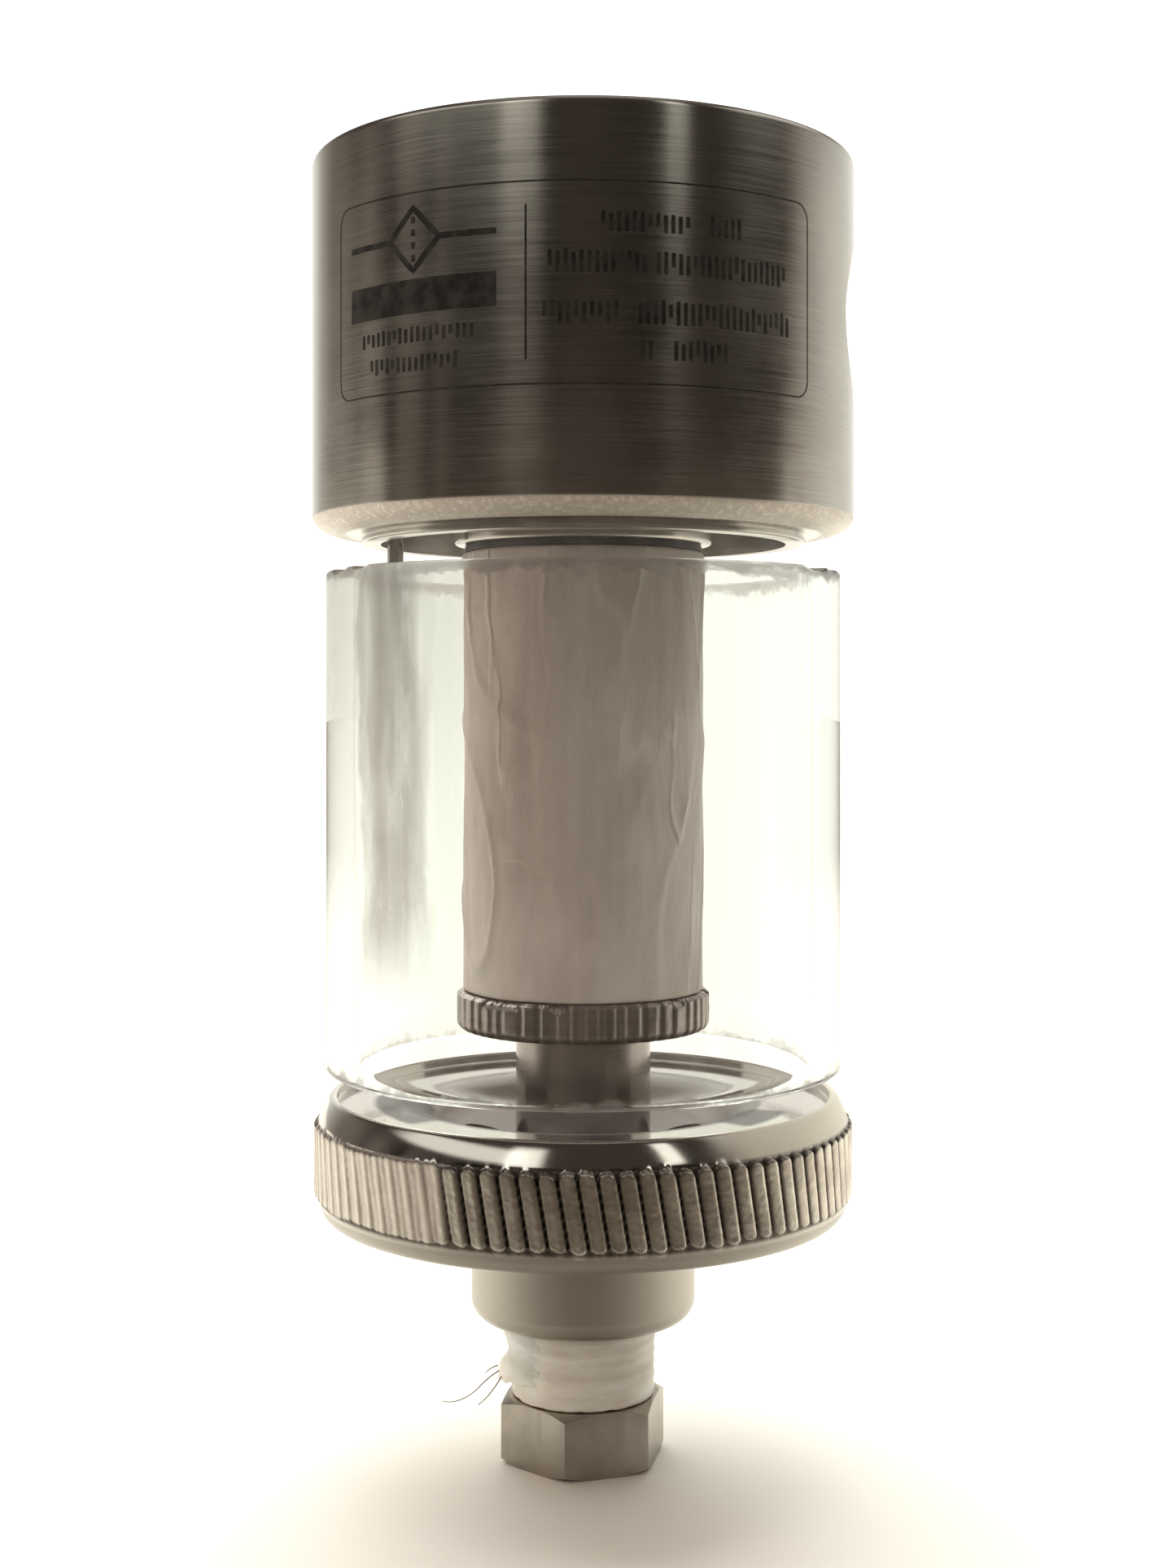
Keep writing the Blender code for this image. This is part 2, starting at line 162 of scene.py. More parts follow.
def evaluated_mesh(obj):
    """The mesh that an object's modifiers or its curve come to."""
    bpy.context.view_layer.update()
    graph = bpy.context.evaluated_depsgraph_get()
    return bpy.data.meshes.new_from_object(obj.evaluated_get(graph))


def apply_modifiers(obj):
    mesh = evaluated_mesh(obj)
    obj.modifiers.clear()
    obj.data = mesh
    shade(mesh)


def cut(obj, cutters):
    """Cuts closed meshes out of a piece and removes them."""
    for cutter in cutters:
        difference = obj.modifiers.new(cutter.name, "BOOLEAN")
        difference.object = cutter
    apply_modifiers(obj)
    for cutter in cutters:
        bpy.data.objects.remove(cutter)


def aim(obj, start, direction):
    """Moves a piece turned about +Z so that its axis starts at a point and runs along a direction."""
    turn = Vector(direction).to_track_quat("Z", "Y").to_matrix().to_4x4()
    obj.data.transform(Matrix.Translation(Vector(start) * MM) @ turn)


def smooth_step(low, high, value):
    t = min(1.0, max(0.0, (value - low) / (high - low)))
    return t * t * (3 - 2 * t)


def wrapped(angle):
    """An angle difference brought into -pi to pi."""
    return (angle + math.pi) % TAU - math.pi


def grain(azimuth, z, around, along, seed=0.0):
    """Smooth noise, about -1 to 1, on a round surface, with a number of cells around and a size along."""
    reach = around / TAU
    return noise.noise((math.sin(azimuth) * reach + seed, math.cos(azimuth) * reach, z / along + seed))


def thread_groove(azimuth, z, pitch):
    """How deep a place is in the V groove of a screw thread, 0 to 1."""
    phase = (azimuth / TAU - z / pitch) % 1.0
    return 1.0 - abs(2.0 * phase - 1.0)


def thread_shape(depth, pitch, start, end, lead=1.0):
    """A shape for lathe() that cuts a thread between two heights, fading in over a lead."""

    def shape(azimuth, r, z):
        fade = smooth_step(start, start + lead, z) * (1.0 - smooth_step(end - lead, end, z))
        return r - depth * thread_groove(azimuth, z, pitch) * fade, z

    return shape


# ---------------------------------------------------------------- materials


class Nodes:
    """A tree that nodes are added to."""

    def __init__(self, tree):
        self.tree = tree

    def add(self, kind, inputs=(), output=0, **settings):
        """What a new node gives. Its inputs are values, numbers or colours, in their order or by name."""
        node = self.tree.nodes.new(kind)
        for setting, value in settings.items():
            setattr(node, setting, value)
        for name, value in inputs.items() if isinstance(inputs, dict) else enumerate(inputs):
            self.join(value, node.inputs[name])
        return Value(self, node.outputs[output])

    def join(self, value, socket):
        if isinstance(value, Value):
            self.tree.links.new(value.socket, socket)
        elif isinstance(value, tuple):
            socket.default_value = (*value, 1.0)[:len(socket.default_value)]
        else:
            socket.default_value = value

    def ray(self, kind):
        return self.add("ShaderNodeLightPath", output=kind)


class Value:
    """What a node gives. Arithmetic and the methods add the nodes that work on it, and | takes the larger."""

    def __init__(self, nodes, socket):
        self.nodes = nodes
        self.socket = socket

    def math(self, operation, other=0.0):
        return self.nodes.add("ShaderNodeMath", (self, other), operation=operation)

    def __add__(self, other):
        return self.math("ADD", other)

    def __sub__(self, other):
        return self.math("SUBTRACT", other)

    def __rsub__(self, number):
        return self * -1.0 + number

    def __mul__(self, other):
        return self.math("MULTIPLY", other)

    def __or__(self, other):
        return self.math("MAXIMUM", other)

    def spread(self, low, high, to_low=0.0, to_high=1.0):
        """Maps a range to another, held at its ends, with soft corners."""
        numbers = (self, low, high, to_low, to_high)
        return self.nodes.add("ShaderNodeMapRange", numbers, interpolation_type="SMOOTHSTEP")

    def fade(self, start, end):
        """1 up to a start and 0 from an end on."""
        return self.spread(start, end, 1.0, 0.0)

    def band(self, low, high, edge):
        """1 between two values and 0 outside them."""
        return self.spread(low, low + edge) * self.fade(high - edge, high)

    def mix(self, first, second):
        """A colour between two, with this share of the second."""
        inputs = {"Factor": self, "A": first, "B": second}
        return self.nodes.add("ShaderNodeMix", inputs, "Result", data_type="RGBA")

    def blend(self, first, second):
        """A shader between two, with this share of the second."""
        return self.nodes.add("ShaderNodeMixShader", (self, first, second))

    def bump(self, distance, strength, under=None):
        """The normals of a surface that this raises by up to a distance, on top of other normals."""
        inputs = {"Strength": strength, "Distance": distance * MM, "Height": self}
        if under:
            inputs["Normal"] = under
        return self.nodes.add("ShaderNodeBump", inputs)

    def axes(self):
        return [self.nodes.add("ShaderNodeSeparateXYZ", (self,), axis) for axis in range(3)]

    def azimuth(self):
        x, y, _ = self.axes()
        return x.math("ARCTAN2", y * -1.0)


class Finish(Nodes):
    """A material being made: a Principled shader and what feeds it."""

    def __init__(self, name, colour, roughness, metallic=0.0):
        self.material = bpy.data.materials.new(name)
        self.material.use_nodes = True
        super().__init__(self.material.node_tree)
        self.shader = self.tree.nodes["Principled BSDF"]
        self.plain = Value(self, self.shader.outputs[0])
        self.place = self.add("ShaderNodeTexCoord", output="Object")
        self.feed("Base Color", colour)
        self.feed("Roughness", roughness)
        self.feed("Metallic", metallic)

    def feed(self, name, value):
        self.join(value, self.shader.inputs[name])

    def fed(self, name):
        """What feeds one of the shader's inputs."""
        return Value(self, self.shader.inputs[name].links[0].from_socket)

    def show(self, shader):
        """Puts a shader in the place of the Principled one."""
        self.join(shader, self.tree.nodes["Material Output"].inputs["Surface"])

    def azimuth_deg(self):
        return self.place.azimuth() * (180 / math.pi)

    def radius(self):
        """The distance from the filter's axis in millimetres."""
        x, y, _ = self.place.axes()
        return (x * x + y * y).math("SQRT") * (1 / MM)

    def height(self):
        """The height in millimetres."""
        return self.place.axes()[2] * (1 / MM)

    def noise(self, scale, detail=4.0, roughness=0.55, stretch=(1, 1, 1), offset=0.0):
        """Noise whose cells are 1/scale metres, and longer along the axes that stretch makes smaller."""
        inputs = {"Vector": self.place, "Scale": stretch, "Location": (offset, offset, offset)}
        place = self.add("ShaderNodeMapping", inputs)
        inputs = {"Vector": place, "Scale": scale, "Detail": detail, "Roughness": roughness}
        return self.add("ShaderNodeTexNoise", inputs)


ALONG_THE_TURNING = (0.012, 0.012, 1.0)  # noise cells drawn out around the axis
ALONG_THE_AXIS = (1.0, 1.0, 0.03)


def turned_steel(name, colour, roughness, anisotropy, lines, depth, variation):
    """Steel with the fine lines of turning or brushing around its axis."""
    finish = Finish(name, colour, roughness, 1.0)
    finish.feed("Anisotropic", anisotropy)
    finish.feed("Anisotropic Rotation", 0.25)
    finish.feed("Tangent", finish.add("ShaderNodeTangent", direction_type="RADIAL", axis="Z"))
    fine = finish.noise(lines, 5.0, 0.7, ALONG_THE_TURNING)
    cloudy = finish.noise(160.0, 3.0, 0.5, offset=3.0)
    finish.feed("Normal", fine.bump(depth, 0.6))
    worn = fine * 0.6 + cloudy * 0.4
    darker = tuple(c * (1 - variation) for c in colour)
    lighter = tuple(min(1.0, c * (1 + variation)) for c in colour)
    finish.feed("Base Color", worn.spread(0.35, 0.65).mix(darker, lighter))
    finish.feed("Roughness", worn.spread(0.3, 0.7, roughness * 0.8, roughness * 1.25))
    return finish


def head_finish():
    """Brushed around its side, and dull and sparkling on the round edge below."""
    finish = turned_steel("brushed_head", (0.53, 0.505, 0.455), 0.20, 0.85, 9000.0, 0.0012, 0.07)
    flat = span("head")[1] + SPIGOT_HEIGHT
    edge = finish.height().band(flat - 0.3, flat + HEAD_FILLET_HEIGHT, 0.3)
    edge = edge * finish.radius().spread(SPIGOT_RADIUS + 0.8, SPIGOT_RADIUS + 1.6)
    sparkle = finish.noise(2400.0, 3.0, 0.7, offset=8.0)
    dull = sparkle.spread(0.45, 0.70).mix((0.74, 0.69, 0.61), (1.0, 0.96, 0.86))
    finish.feed("Base Color", edge.mix(finish.fed("Base Color"), dull))
    finish.feed("Roughness", finish.fed("Roughness") + edge * 0.22)
    finish.feed("Metallic", edge.spread(0.0, 1.0, 1.0, 0.15))
    finish.feed("Specular IOR Level", 0.15)
    finish.feed("Normal", (sparkle * edge).bump(0.03, 0.8, finish.fed("Normal")))
    return finish.material


def rod_finish():
    return turned_steel("rod_steel", (0.55, 0.52, 0.46), 0.36, 0.5, 4000.0, 0.006, 0.08).material


def nut_finish():
    return turned_steel("nut_steel", (0.38, 0.325, 0.305), 0.36, 0.2, 3000.0, 0.01, 0.15).material


def polished_finish(name, colour, roughness):
    return turned_steel(name, colour, roughness, 0.3, 5000.0, 0.0006, 0.06).material


SEAT_REFLECTION_DEG = ((-98.0, -48.0, 6.0), (45.0, 74.0, 5.0))  # painted dark reflections on the seat: start, end and width of the edge
HAZE_AND_SHEEN_DEG = (22.0, 110.0, 16.0)  # the hazy side of the shoulder, rougher and with a painted pale reflection


def base_finish():
    """Polished, with a hazy side painted pale as a reflection, a satin dish and underside painted darker as
    shade, painted dark reflections on the seat and a matt knurled band with painted shade in its grooves.
    """
    finish = Finish("base_steel", (0.58, 0.55, 0.50), 0.12, 1.0)
    height = finish.height()
    out = finish.radius()
    azimuth = finish.azimuth_deg()
    grit = finish.noise(2600.0, 6.0, 0.7, offset=1.0)

    knurled = height.band(KNURL_BOTTOM - 0.3, KNURL_TOP + 0.15, 0.4)
    # painted shade: the knurl's grooves are painted dark
    groove = out.fade(BASE_RADIUS - 0.34, BASE_RADIUS - 0.12) * knurled
    struck = azimuth.band(*DOUBLE_TRACK_DEG, 5.0) * knurled
    # painted shade: the underside below the knurl is painted darker, and made rougher
    below = height.fade(KNURL_BOTTOM - 0.5, KNURL_BOTTOM - 0.1)
    # painted shade: the dish is satin and painted dark, and where worn marks it, round the stem, painted
    # darkest and matt
    dish = out.fade(LIP_RADIUS - 0.3, LIP_RADIUS + 0.6) * height.spread(BASE_BOTTOM, BASE_BOTTOM + 1.0)
    worn = dish * out.fade(LIP_RADIUS - 0.4, LIP_RADIUS + 0.5)
    shoulder = out.spread(SEAT_OUTER_RADIUS - 0.1, SEAT_OUTER_RADIUS + 0.1)
    # painted reflection: the hazy side of the shoulder is rougher and painted pale
    haze_and_sheen = azimuth.band(*HAZE_AND_SHEEN_DEG) * height.spread(KNURL_TOP - 0.2, KNURL_TOP + 0.2) * shoulder
    seat = out.band(LIP_RADIUS - 2.6, LIP_RADIUS + 2.6, 0.7)
    seat = seat * height.spread(SEAT_HEIGHT - 2.4, SEAT_HEIGHT - 1.4)
    # painted reflection: dark, matt patches on the seat stand for dark reflections
    left, right = SEAT_REFLECTION_DEG
    seat_reflection = (azimuth.band(*left) | azimuth.band(*right)) * seat

    blotches = finish.noise(420.0, 4.0, 0.6, offset=6.0).spread(0.35, 0.65)
    knurl = struck.mix(blotches.mix((0.54, 0.49, 0.425), (0.74, 0.69, 0.60)), (0.88, 0.84, 0.75))
    tint = knurled.mix((0.57, 0.54, 0.50), knurl)
    tint = haze_and_sheen.mix(tint, (0.82, 0.80, 0.70))
    tint = dish.mix(tint, (0.40, 0.36, 0.345))
    tint = worn.mix(tint, (0.21, 0.195, 0.18))
    tint = below.mix(tint, (0.40, 0.37, 0.325))
    tint = seat_reflection.mix(tint, (0.03, 0.03, 0.025))
    finish.feed("Base Color", groove.mix(tint, (0.13, 0.11, 0.095)))

    finish.feed("Roughness", (knurled | below | dish) * 0.22 + haze_and_sheen * 0.42 + grit * 0.10 + 0.05)
    finish.feed("Metallic", 1.0 - ((struck | haze_and_sheen) * 0.6 | worn * 0.7 | seat_reflection))
    finish.feed("Specular IOR Level", 0.08)
    rings = finish.noise(5000.0, 4.0, 0.6, ALONG_THE_TURNING).bump(0.002, 0.5)
    finish.feed("Normal", (grit * knurled).bump(0.05, 0.7, rings))
    return finish.material


def plug_finish():
    """Dull bar stock, cloudy and lightly scratched."""
    finish = Finish("plug_steel", (0.56, 0.52, 0.46), 0.34, 1.0)
    cloudy = finish.noise(260.0, 4.0, 0.6, offset=2.0)
    scratches = finish.noise(1500.0, 4.0, 0.7, (1, 1, 0.08), 8.0)
    finish.feed("Base Color", cloudy.spread(0.3, 0.7).mix((0.43, 0.395, 0.35), (0.54, 0.50, 0.44)))
    finish.feed("Roughness", scratches.spread(0.3, 0.7, 0.28, 0.42))
    finish.feed("Normal", scratches.bump(0.004, 0.5, cloudy.bump(0.02, 0.6)))
    return finish.material


def element_finish():
    """Bonded fibre: warm grey and mottled, with fine fibres, and creases that run up and down with painted
    highlights along them.
    """
    finish = Finish("filter_media", (0.5, 0.46, 0.43), 0.9)
    finish.feed("Specular IOR Level", 0.25)
    cloudy = finish.noise(130.0, 5.0, 0.6, (1, 1, 0.45), 2.0)
    runs = finish.noise(330.0, 4.0, 0.6, (1, 1, 0.10), 4.0)
    fibres = finish.noise(1500.0, 5.0, 0.7, (1, 1, 0.6), 7.0)
    folds = finish.noise(120.0, 3.0, 0.5, (1, 1, 0.33), 11.0)
    crease = (folds - 0.5).math("ABSOLUTE").fade(0.0, 0.03)
    highlighted_crease = crease * cloudy.spread(0.42, 0.6, 0.15, 1.0)
    tint = cloudy.spread(0.35, 0.68).mix((0.575, 0.52, 0.485), (0.86, 0.80, 0.765))
    tint = runs.spread(0.38, 0.66, 0.0, 0.7).mix(tint, (0.775, 0.735, 0.68))
    tint = fibres.spread(0.35, 0.75, 0.0, 0.5).mix(tint, (0.715, 0.66, 0.63))
    # painted highlight: pale colour along the creases
    finish.feed("Base Color", highlighted_crease.mix(tint, (0.86, 0.81, 0.77)))
    finish.feed("Normal", fibres.bump(0.06, 0.8, cloudy.bump(0.5, 0.8, highlighted_crease.bump(0.2, 0.9))))
    return finish.material


def two_tone_finish(name, colours, scale, roughness=0.6):
    """A plain material that changes between two colours."""
    finish = Finish(name, colours[0], roughness)
    finish.feed("Base Color", finish.noise(scale).mix(*colours))
    return finish.material


def etching_finish():
    finish = Finish("etched_mark", (0.035, 0.032, 0.03), 0.55, 0.4)
    patchy = finish.noise(900.0, 3.0, offset=5.0).spread(0.3, 0.7)
    finish.feed("Base Color", patchy.mix((0.02, 0.018, 0.016), (0.06, 0.055, 0.05)))
    return finish.material


def rubber_finish():
    finish = Finish("black_rubber", (0.02, 0.02, 0.02), 0.6)
    finish.feed("Normal", finish.noise(1800.0).bump(0.02, 0.5))
    finish.feed("Roughness", finish.noise(400.0, 3.0, offset=4.0).spread(0.3, 0.7, 0.45, 0.75))
    return finish.material


def seal_finish():
    """Clear silicone, which mostly shows as a faint sheen."""
    finish = Finish("clear_silicone", (0.95, 0.95, 0.93), 0.25)
    cloudy = finish.noise(300.0, 3.0)
    finish.feed("Roughness", cloudy.spread(0.3, 0.7, 0.2, 0.35))
    finish.feed("Alpha", cloudy.spread(0.3, 0.7, 0.03, 0.09))
    return finish.material


GLASS_REFLECTION_DEG = (-56.5, -34.0, 3.5)  # a painted dark reflection down the glass: start, end and width of the edge
HAZE_DEG = (-100.0, -16.0, 12.0)


def glass_finish():
    """Clear glass with a painted dark reflection down its left front, a faint haze around it and rough,
    ground rims.
    """
    _, low, high = span("glass_bowl")
    finish = Finish("bowl_glass", (0.97, 0.985, 0.97), 0.0)
    finish.feed("IOR", 1.47)
    finish.feed("Transmission Weight", 1.0)
    azimuth = finish.azimuth_deg()
    height = finish.height()
    streaks = finish.noise(420.0, 4.0, 0.6, ALONG_THE_AXIS, 1.5)
    cloudy = finish.noise(190.0, 4.0, 0.6, (1, 1, 0.3), 9.0)
    broken = (finish.noise(500.0, offset=3.0) - 0.5) * 2.6

    # painted reflection: a dark, rougher film in a band down the left front
    painted_reflection = (azimuth + (cloudy - 0.5) * 17.0).band(*GLASS_REFLECTION_DEG) * height.band(low + 5.0, high + 9.0, 9.0)
    painted_reflection = painted_reflection * (streaks.spread(0.30, 0.62, 0.65) * cloudy.spread(0.38, 0.56, 0.55))
    haze = azimuth.band(*HAZE_DEG) * height.spread(low + 10.0, high - 1.0, 0.015, 0.15)
    rims = 1.0 - (height + broken).band(low + 0.15, high - 0.55, 0.4)
    edge = finish.add("ShaderNodeLayerWeight", output="Facing").spread(0.80, 1.0, 0.0, 0.30)
    film = painted_reflection * 0.56 | haze | streaks.spread(0.5, 0.75, 0.0, 0.05) | rims * 0.36 | edge
    finish.feed("Roughness", (painted_reflection | rims) * 0.2)

    reflection_tint = cloudy.spread(0.4, 0.6).mix((0.52, 0.48, 0.48), (0.56, 0.505, 0.435))
    ground = rims.mix((0.76, 0.63, 0.49), (0.50, 0.44, 0.43))
    film_shader = finish.add("ShaderNodeBsdfTranslucent", {"Color": painted_reflection.mix(ground, reflection_tint)})
    glass = finish.ray("Is Shadow Ray").blend(finish.plain, finish.add("ShaderNodeBsdfTransparent"))
    finish.show(film.blend(glass, film_shader))
    return finish.material


def tape_finish():
    finish = Finish("thread_tape", (0.84, 0.80, 0.73), 0.5)
    finish.feed("Subsurface Weight", 0.25)
    finish.feed("Subsurface Scale", 1.0 * MM)
    folds = finish.noise(900.0, 5.0, 0.6, (0.25, 0.25, 1.0), 2.0)
    finish.feed("Normal", folds.bump(0.06, 0.8))
    finish.feed("Base Color", folds.spread(0.3, 0.7).mix((0.72, 0.67, 0.60), (0.90, 0.86, 0.80)))
    return finish.material


def floor_finish():
    """Pale card, which the pieces see growing dark towards the unlit room in front of them."""
    finish = Finish("pale_floor", (0.90, 0.885, 0.83), 0.75)
    finish.feed("Base Color", finish.noise(6.0, 3.0).mix((0.68, 0.675, 0.635), (0.705, 0.70, 0.66)))
    in_front = finish.place.axes()[1].fade(-75 * MM, 25 * MM)
    out = finish.radius()
    dark = in_front | finish.ray("Is Singular Ray") * out.spread(250.0, 700.0, 0.0, 0.9)
    mirrored = 1.0 - finish.ray("Is Camera Ray")
    unlit = finish.add("ShaderNodeBsdfDiffuse", {"Color": (0.07, 0.06, 0.05)})
    card = (mirrored * dark).blend(finish.plain, unlit)
    far = (1.0 - in_front) * out.spread(60.0, 300.0)
    direct = 1.0 - finish.ray("Diffuse Depth").math("MINIMUM", 1.0)
    behind_glass = finish.add("ShaderNodeEmission", (SEEN_THROUGH_GLASS, SEEN_THROUGH_STRENGTH))
    finish.show((finish.ray("Is Transmission Ray") * far * direct).blend(card, behind_glass))
    return finish.material


# ---------------------------------------------------------------- pieces

HEAD_FILLET_WIDTH = 2.1
HEAD_FILLET_HEIGHT = 1.3
HEAD_TOP_EDGE = 0.45
SPIGOT_RADIUS = 16.4
SPIGOT_NECK_RADIUS = 15.8
SPIGOT_LIP = 0.45
SPIGOT_EDGE = 0.2
SPIGOT_HEIGHT = 0.7
CHAMBER_RADIUS = 15.0
CHAMBER_DEPTH = 4.5
BOSS_RADIUS = 9.55
BOSS_EDGE = 0.25
OUTLET_BORE_RADIUS = 4.6
OUTLET_BORE_TOP = 86.5
ROD_CLEARANCE = 0.05

PORT_HEIGHT = 83.6
PORT_AZIMUTH = math.radians(84)
PORT_RADIUS = 5.15
PORT_MOUTH_RADIUS = 5.6
PORT_FLOOR = 9.5
PIPE_THREAD_PITCH = 25.4 / 27
PIPE_THREAD_DEPTH = 0.6
INLET_DRILLING_OFFSET = 12.2
INLET_DRILLING_RADIUS = 2.2
OUTLET_DRILLING_RADIUS = 2.8

FINE_THREAD_PITCH = 1.0
ROD_THREAD_DEPTH = 0.5
ROD_THREAD_TOP = 44.0
SMALL_THREAD_DEPTH = 0.45  # on the stem and the plug


def strand(name, points, thickness):
    """A thin thread along points in millimetres, which tapers to its far end."""
    curve = bpy.data.curves.new(name, "CURVE")
    curve.dimensions = "3D"
    curve.bevel_depth = thickness * MM
    curve.bevel_resolution = 2
    curve.use_fill_caps = True
    spline = curve.splines.new("NURBS")
    spline.points.add(len(points) - 1)
    for i, point in enumerate(points):
        spline.points[i].co = (*metres(point), 1.0)
        spline.points[i].radius = 1.0 - 0.6 * i / len(points)
    spline.use_endpoint_u = True
    spline.order_u = 4
    source = linked(name + "_curve", curve)
    mesh = evaluated_mesh(source)
    bpy.data.objects.remove(source)
    shape = bmesh.new()
    shape.from_mesh(mesh)
    bmesh.ops.remove_doubles(shape, verts=shape.verts, dist=1e-7)
    shape.to_mesh(mesh)
    shape.free()
    return linked(name, mesh)


def finished(piece, material, body, slot, *nodes):
    """Gives a piece its material and body, and hides the CAD nodes it stands for."""
    piece.data.materials.clear()
    piece.data.materials.append(material)
    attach(piece, body)
    if nodes:
        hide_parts(*nodes)


def along_port(distance, height=PORT_HEIGHT):
    return round_point(PORT_AZIMUTH, distance, height)


def drilling(name, start, end, radius, columns=32):
    """A closed cylinder between two points, to cut with."""
    run = Vector(end) - Vector(start)
    piece = lathe(name, [(0, run.length), (radius, run.length), (radius, 0), (0, 0)], columns)
    aim(piece, start, run)
    return piece


def port_cutter(side):
    """The bore of a port with its chamfered mouth, for the side of the inlet, 1, or of the outlet, -1."""
    radius = span("head")[0]
    beyond = 2.0
    outline = [
        (0, radius + beyond),
        (PORT_MOUTH_RADIUS + beyond, radius + beyond),
        (PORT_RADIUS, radius + PORT_RADIUS - PORT_MOUTH_RADIUS),
        (PORT_RADIUS, PORT_FLOOR),
        (0, PORT_FLOOR),
    ]
    cutter = lathe("port_cutter", outline, 96)
    aim(cutter, (0, 0, PORT_HEIGHT), along_port(side, 0.0))
    return cutter


def port_thread(name, side, material):
    """The pipe thread inside a port, a sleeve that lines its bore."""
    outer = PORT_RADIUS - 0.01
    inner = PORT_RADIUS - PIPE_THREAD_DEPTH
    wall = 0.05
    start = PORT_FLOOR + 1.5
    end = span("head")[0] - 1.2
    crests = dense([(inner, start), (inner, end)], PIPE_THREAD_PITCH / 8)

    def threaded(azimuth, r, z):
        if r > inner + 0.01:
            return r, z
        return r + (outer - wall - inner) * thread_groove(azimuth, z, PIPE_THREAD_PITCH), z

    sleeve = lathe(name, [(outer, end), (outer, start), *crests], 72, closed=True, shape=threaded)
    aim(sleeve, (0, 0, PORT_HEIGHT), along_port(side, 0.0))
    finished(sleeve, material, "head", "head_steel")


def head_outline():
    """From the top over the round lower edge, the spigot, the chamber and the boss into the outlet bore."""
    radius, bottom, top = span("head")
    rod_radius, _, rod_top = span("tie_rod")
    flat = bottom + SPIGOT_HEIGHT
    chamber_top = bottom + CHAMBER_DEPTH
    fillet_centre = (radius - HEAD_FILLET_WIDTH, flat + HEAD_FILLET_HEIGHT)
    return [
        (0, top),
        *upper_edge(radius, top, HEAD_TOP_EDGE, 6),
        *arc(fillet_centre, (HEAD_FILLET_WIDTH, HEAD_FILLET_HEIGHT), 0, -90, 14),
        (SPIGOT_NECK_RADIUS, flat),
        (SPIGOT_NECK_RADIUS, bottom + SPIGOT_LIP),
        (SPIGOT_RADIUS, bottom + SPIGOT_LIP),
        *lower_edge(SPIGOT_RADIUS, bottom, SPIGOT_EDGE),
        (CHAMBER_RADIUS, bottom),
        (CHAMBER_RADIUS, chamber_top),
        (BOSS_RADIUS, chamber_top),
        *lower_edge(BOSS_RADIUS, bottom, BOSS_EDGE),
        (OUTLET_BORE_RADIUS, bottom),
        (OUTLET_BORE_RADIUS, OUTLET_BORE_TOP),
        (rod_radius + ROD_CLEARANCE, OUTLET_BORE_TOP),
        (rod_radius + ROD_CLEARANCE, rod_top + 0.1),
        (0, rod_top + 0.1),
    ]


def make_head():
    head = lathe("head_block", head_outline(), 288)
    in_chamber = along_port(INLET_DRILLING_OFFSET, span("head")[1] + CHAMBER_DEPTH - 1)
    in_inlet = along_port(INLET_DRILLING_OFFSET)
    in_outlet = along_port(-PORT_FLOOR - 1)
    in_bore = along_port(-OUTLET_BORE_RADIUS / 2)
    inlet_drilling = drilling("inlet_drilling", in_chamber, in_inlet, INLET_DRILLING_RADIUS)
    outlet_drilling = drilling("outlet_drilling", in_outlet, in_bore, OUTLET_DRILLING_RADIUS)
    cut(head, [port_cutter(1), port_cutter(-1), inlet_drilling, outlet_drilling])
    material = head_finish()
    finished(head, material, "head", "head_steel", "head")
    port_thread("inlet_thread", 1, material)
    port_thread("outlet_thread", -1, material)


ETCHING_STEP = 0.4  # short enough for a strip to follow the round head


class Etching:
    """Marks on the head, gathered as thin closed strips that hug its round side."""

    def __init__(self, radius):
        self.inside = radius - 0.05
        self.outside = radius + 0.012
        self.points = []
        self.faces = []

    def degrees(self, millimetres):
        return math.degrees(millimetres / self.outside)

    def strip(self, corners, width, closed=False):
        """A strip of one width along (azimuth in degrees, z) corners."""
        across = self.degrees(1.0)
        flat = [(azimuth / across, z) for azimuth, z in corners]
        path = dense(flat + flat[:1] if closed else flat, ETCHING_STEP)
        if closed:
            path.pop()
        first = len(self.points)
        count = len(path)
        for i, (x, z) in enumerate(path):
            before = path[i - 1] if i or closed else path[i]
            after = path[(i + 1) % count] if i < count - 1 or closed else path[i]
            run = Vector((after[0] - before[0], after[1] - before[1])).normalized()
            side = Vector((-run.y, run.x)) * width / 2
            for sign in (1, -1):
                azimuth = math.radians((x + sign * side.x) * across)
                for radius in (self.outside, self.inside):
                    self.points.append(metres(round_point(azimuth, radius, z + sign * side.y)))
        for i in range(count if closed else count - 1):
            a = first + 4 * i
            b = first + 4 * ((i + 1) % count)
            self.faces += [(a, b, b + 2, a + 2), (a + 1, a + 3, b + 3, b + 1)]
            self.faces += [(a, a + 1, b + 1, b), (a + 2, b + 2, b + 3, a + 3)]
        if not closed:
            last = first + 4 * (count - 1)
            self.faces += [(first, first + 2, first + 3, first + 1), (last, last + 1, last + 3, last + 2)]

    def frame(self, left, right, bottom, top, corner, width):
        """A rectangle with round corners."""
        reach = self.degrees(corner)
        path = []
        for x, z, start in ((right, top, 90), (right, bottom, 0), (left, bottom, -90), (left, top, -180)):
            centre_x = x - reach if x == right else x + reach
            centre_z = z - corner if z == top else z + corner
            path += arc((centre_x, centre_z), (reach, corner), start, start - 90, 8)
        self.strip(path, width, closed=True)

    def ticks(self, start, end, z, height, pen):
        """A run of upright ticks of uneven height, which stands for a word."""
        step = self.degrees(0.52)
        for i in range(max(1, round((end - start) / step))):
            azimuth = start + step * (i + 0.5)
            low = z - height / 2 + pen.choice((0.0, 0.0, 0.3)) * height
            self.strip([(azimuth, low), (azimuth, z + height / 2 * pen.uniform(0.6, 1.0))], 0.27)


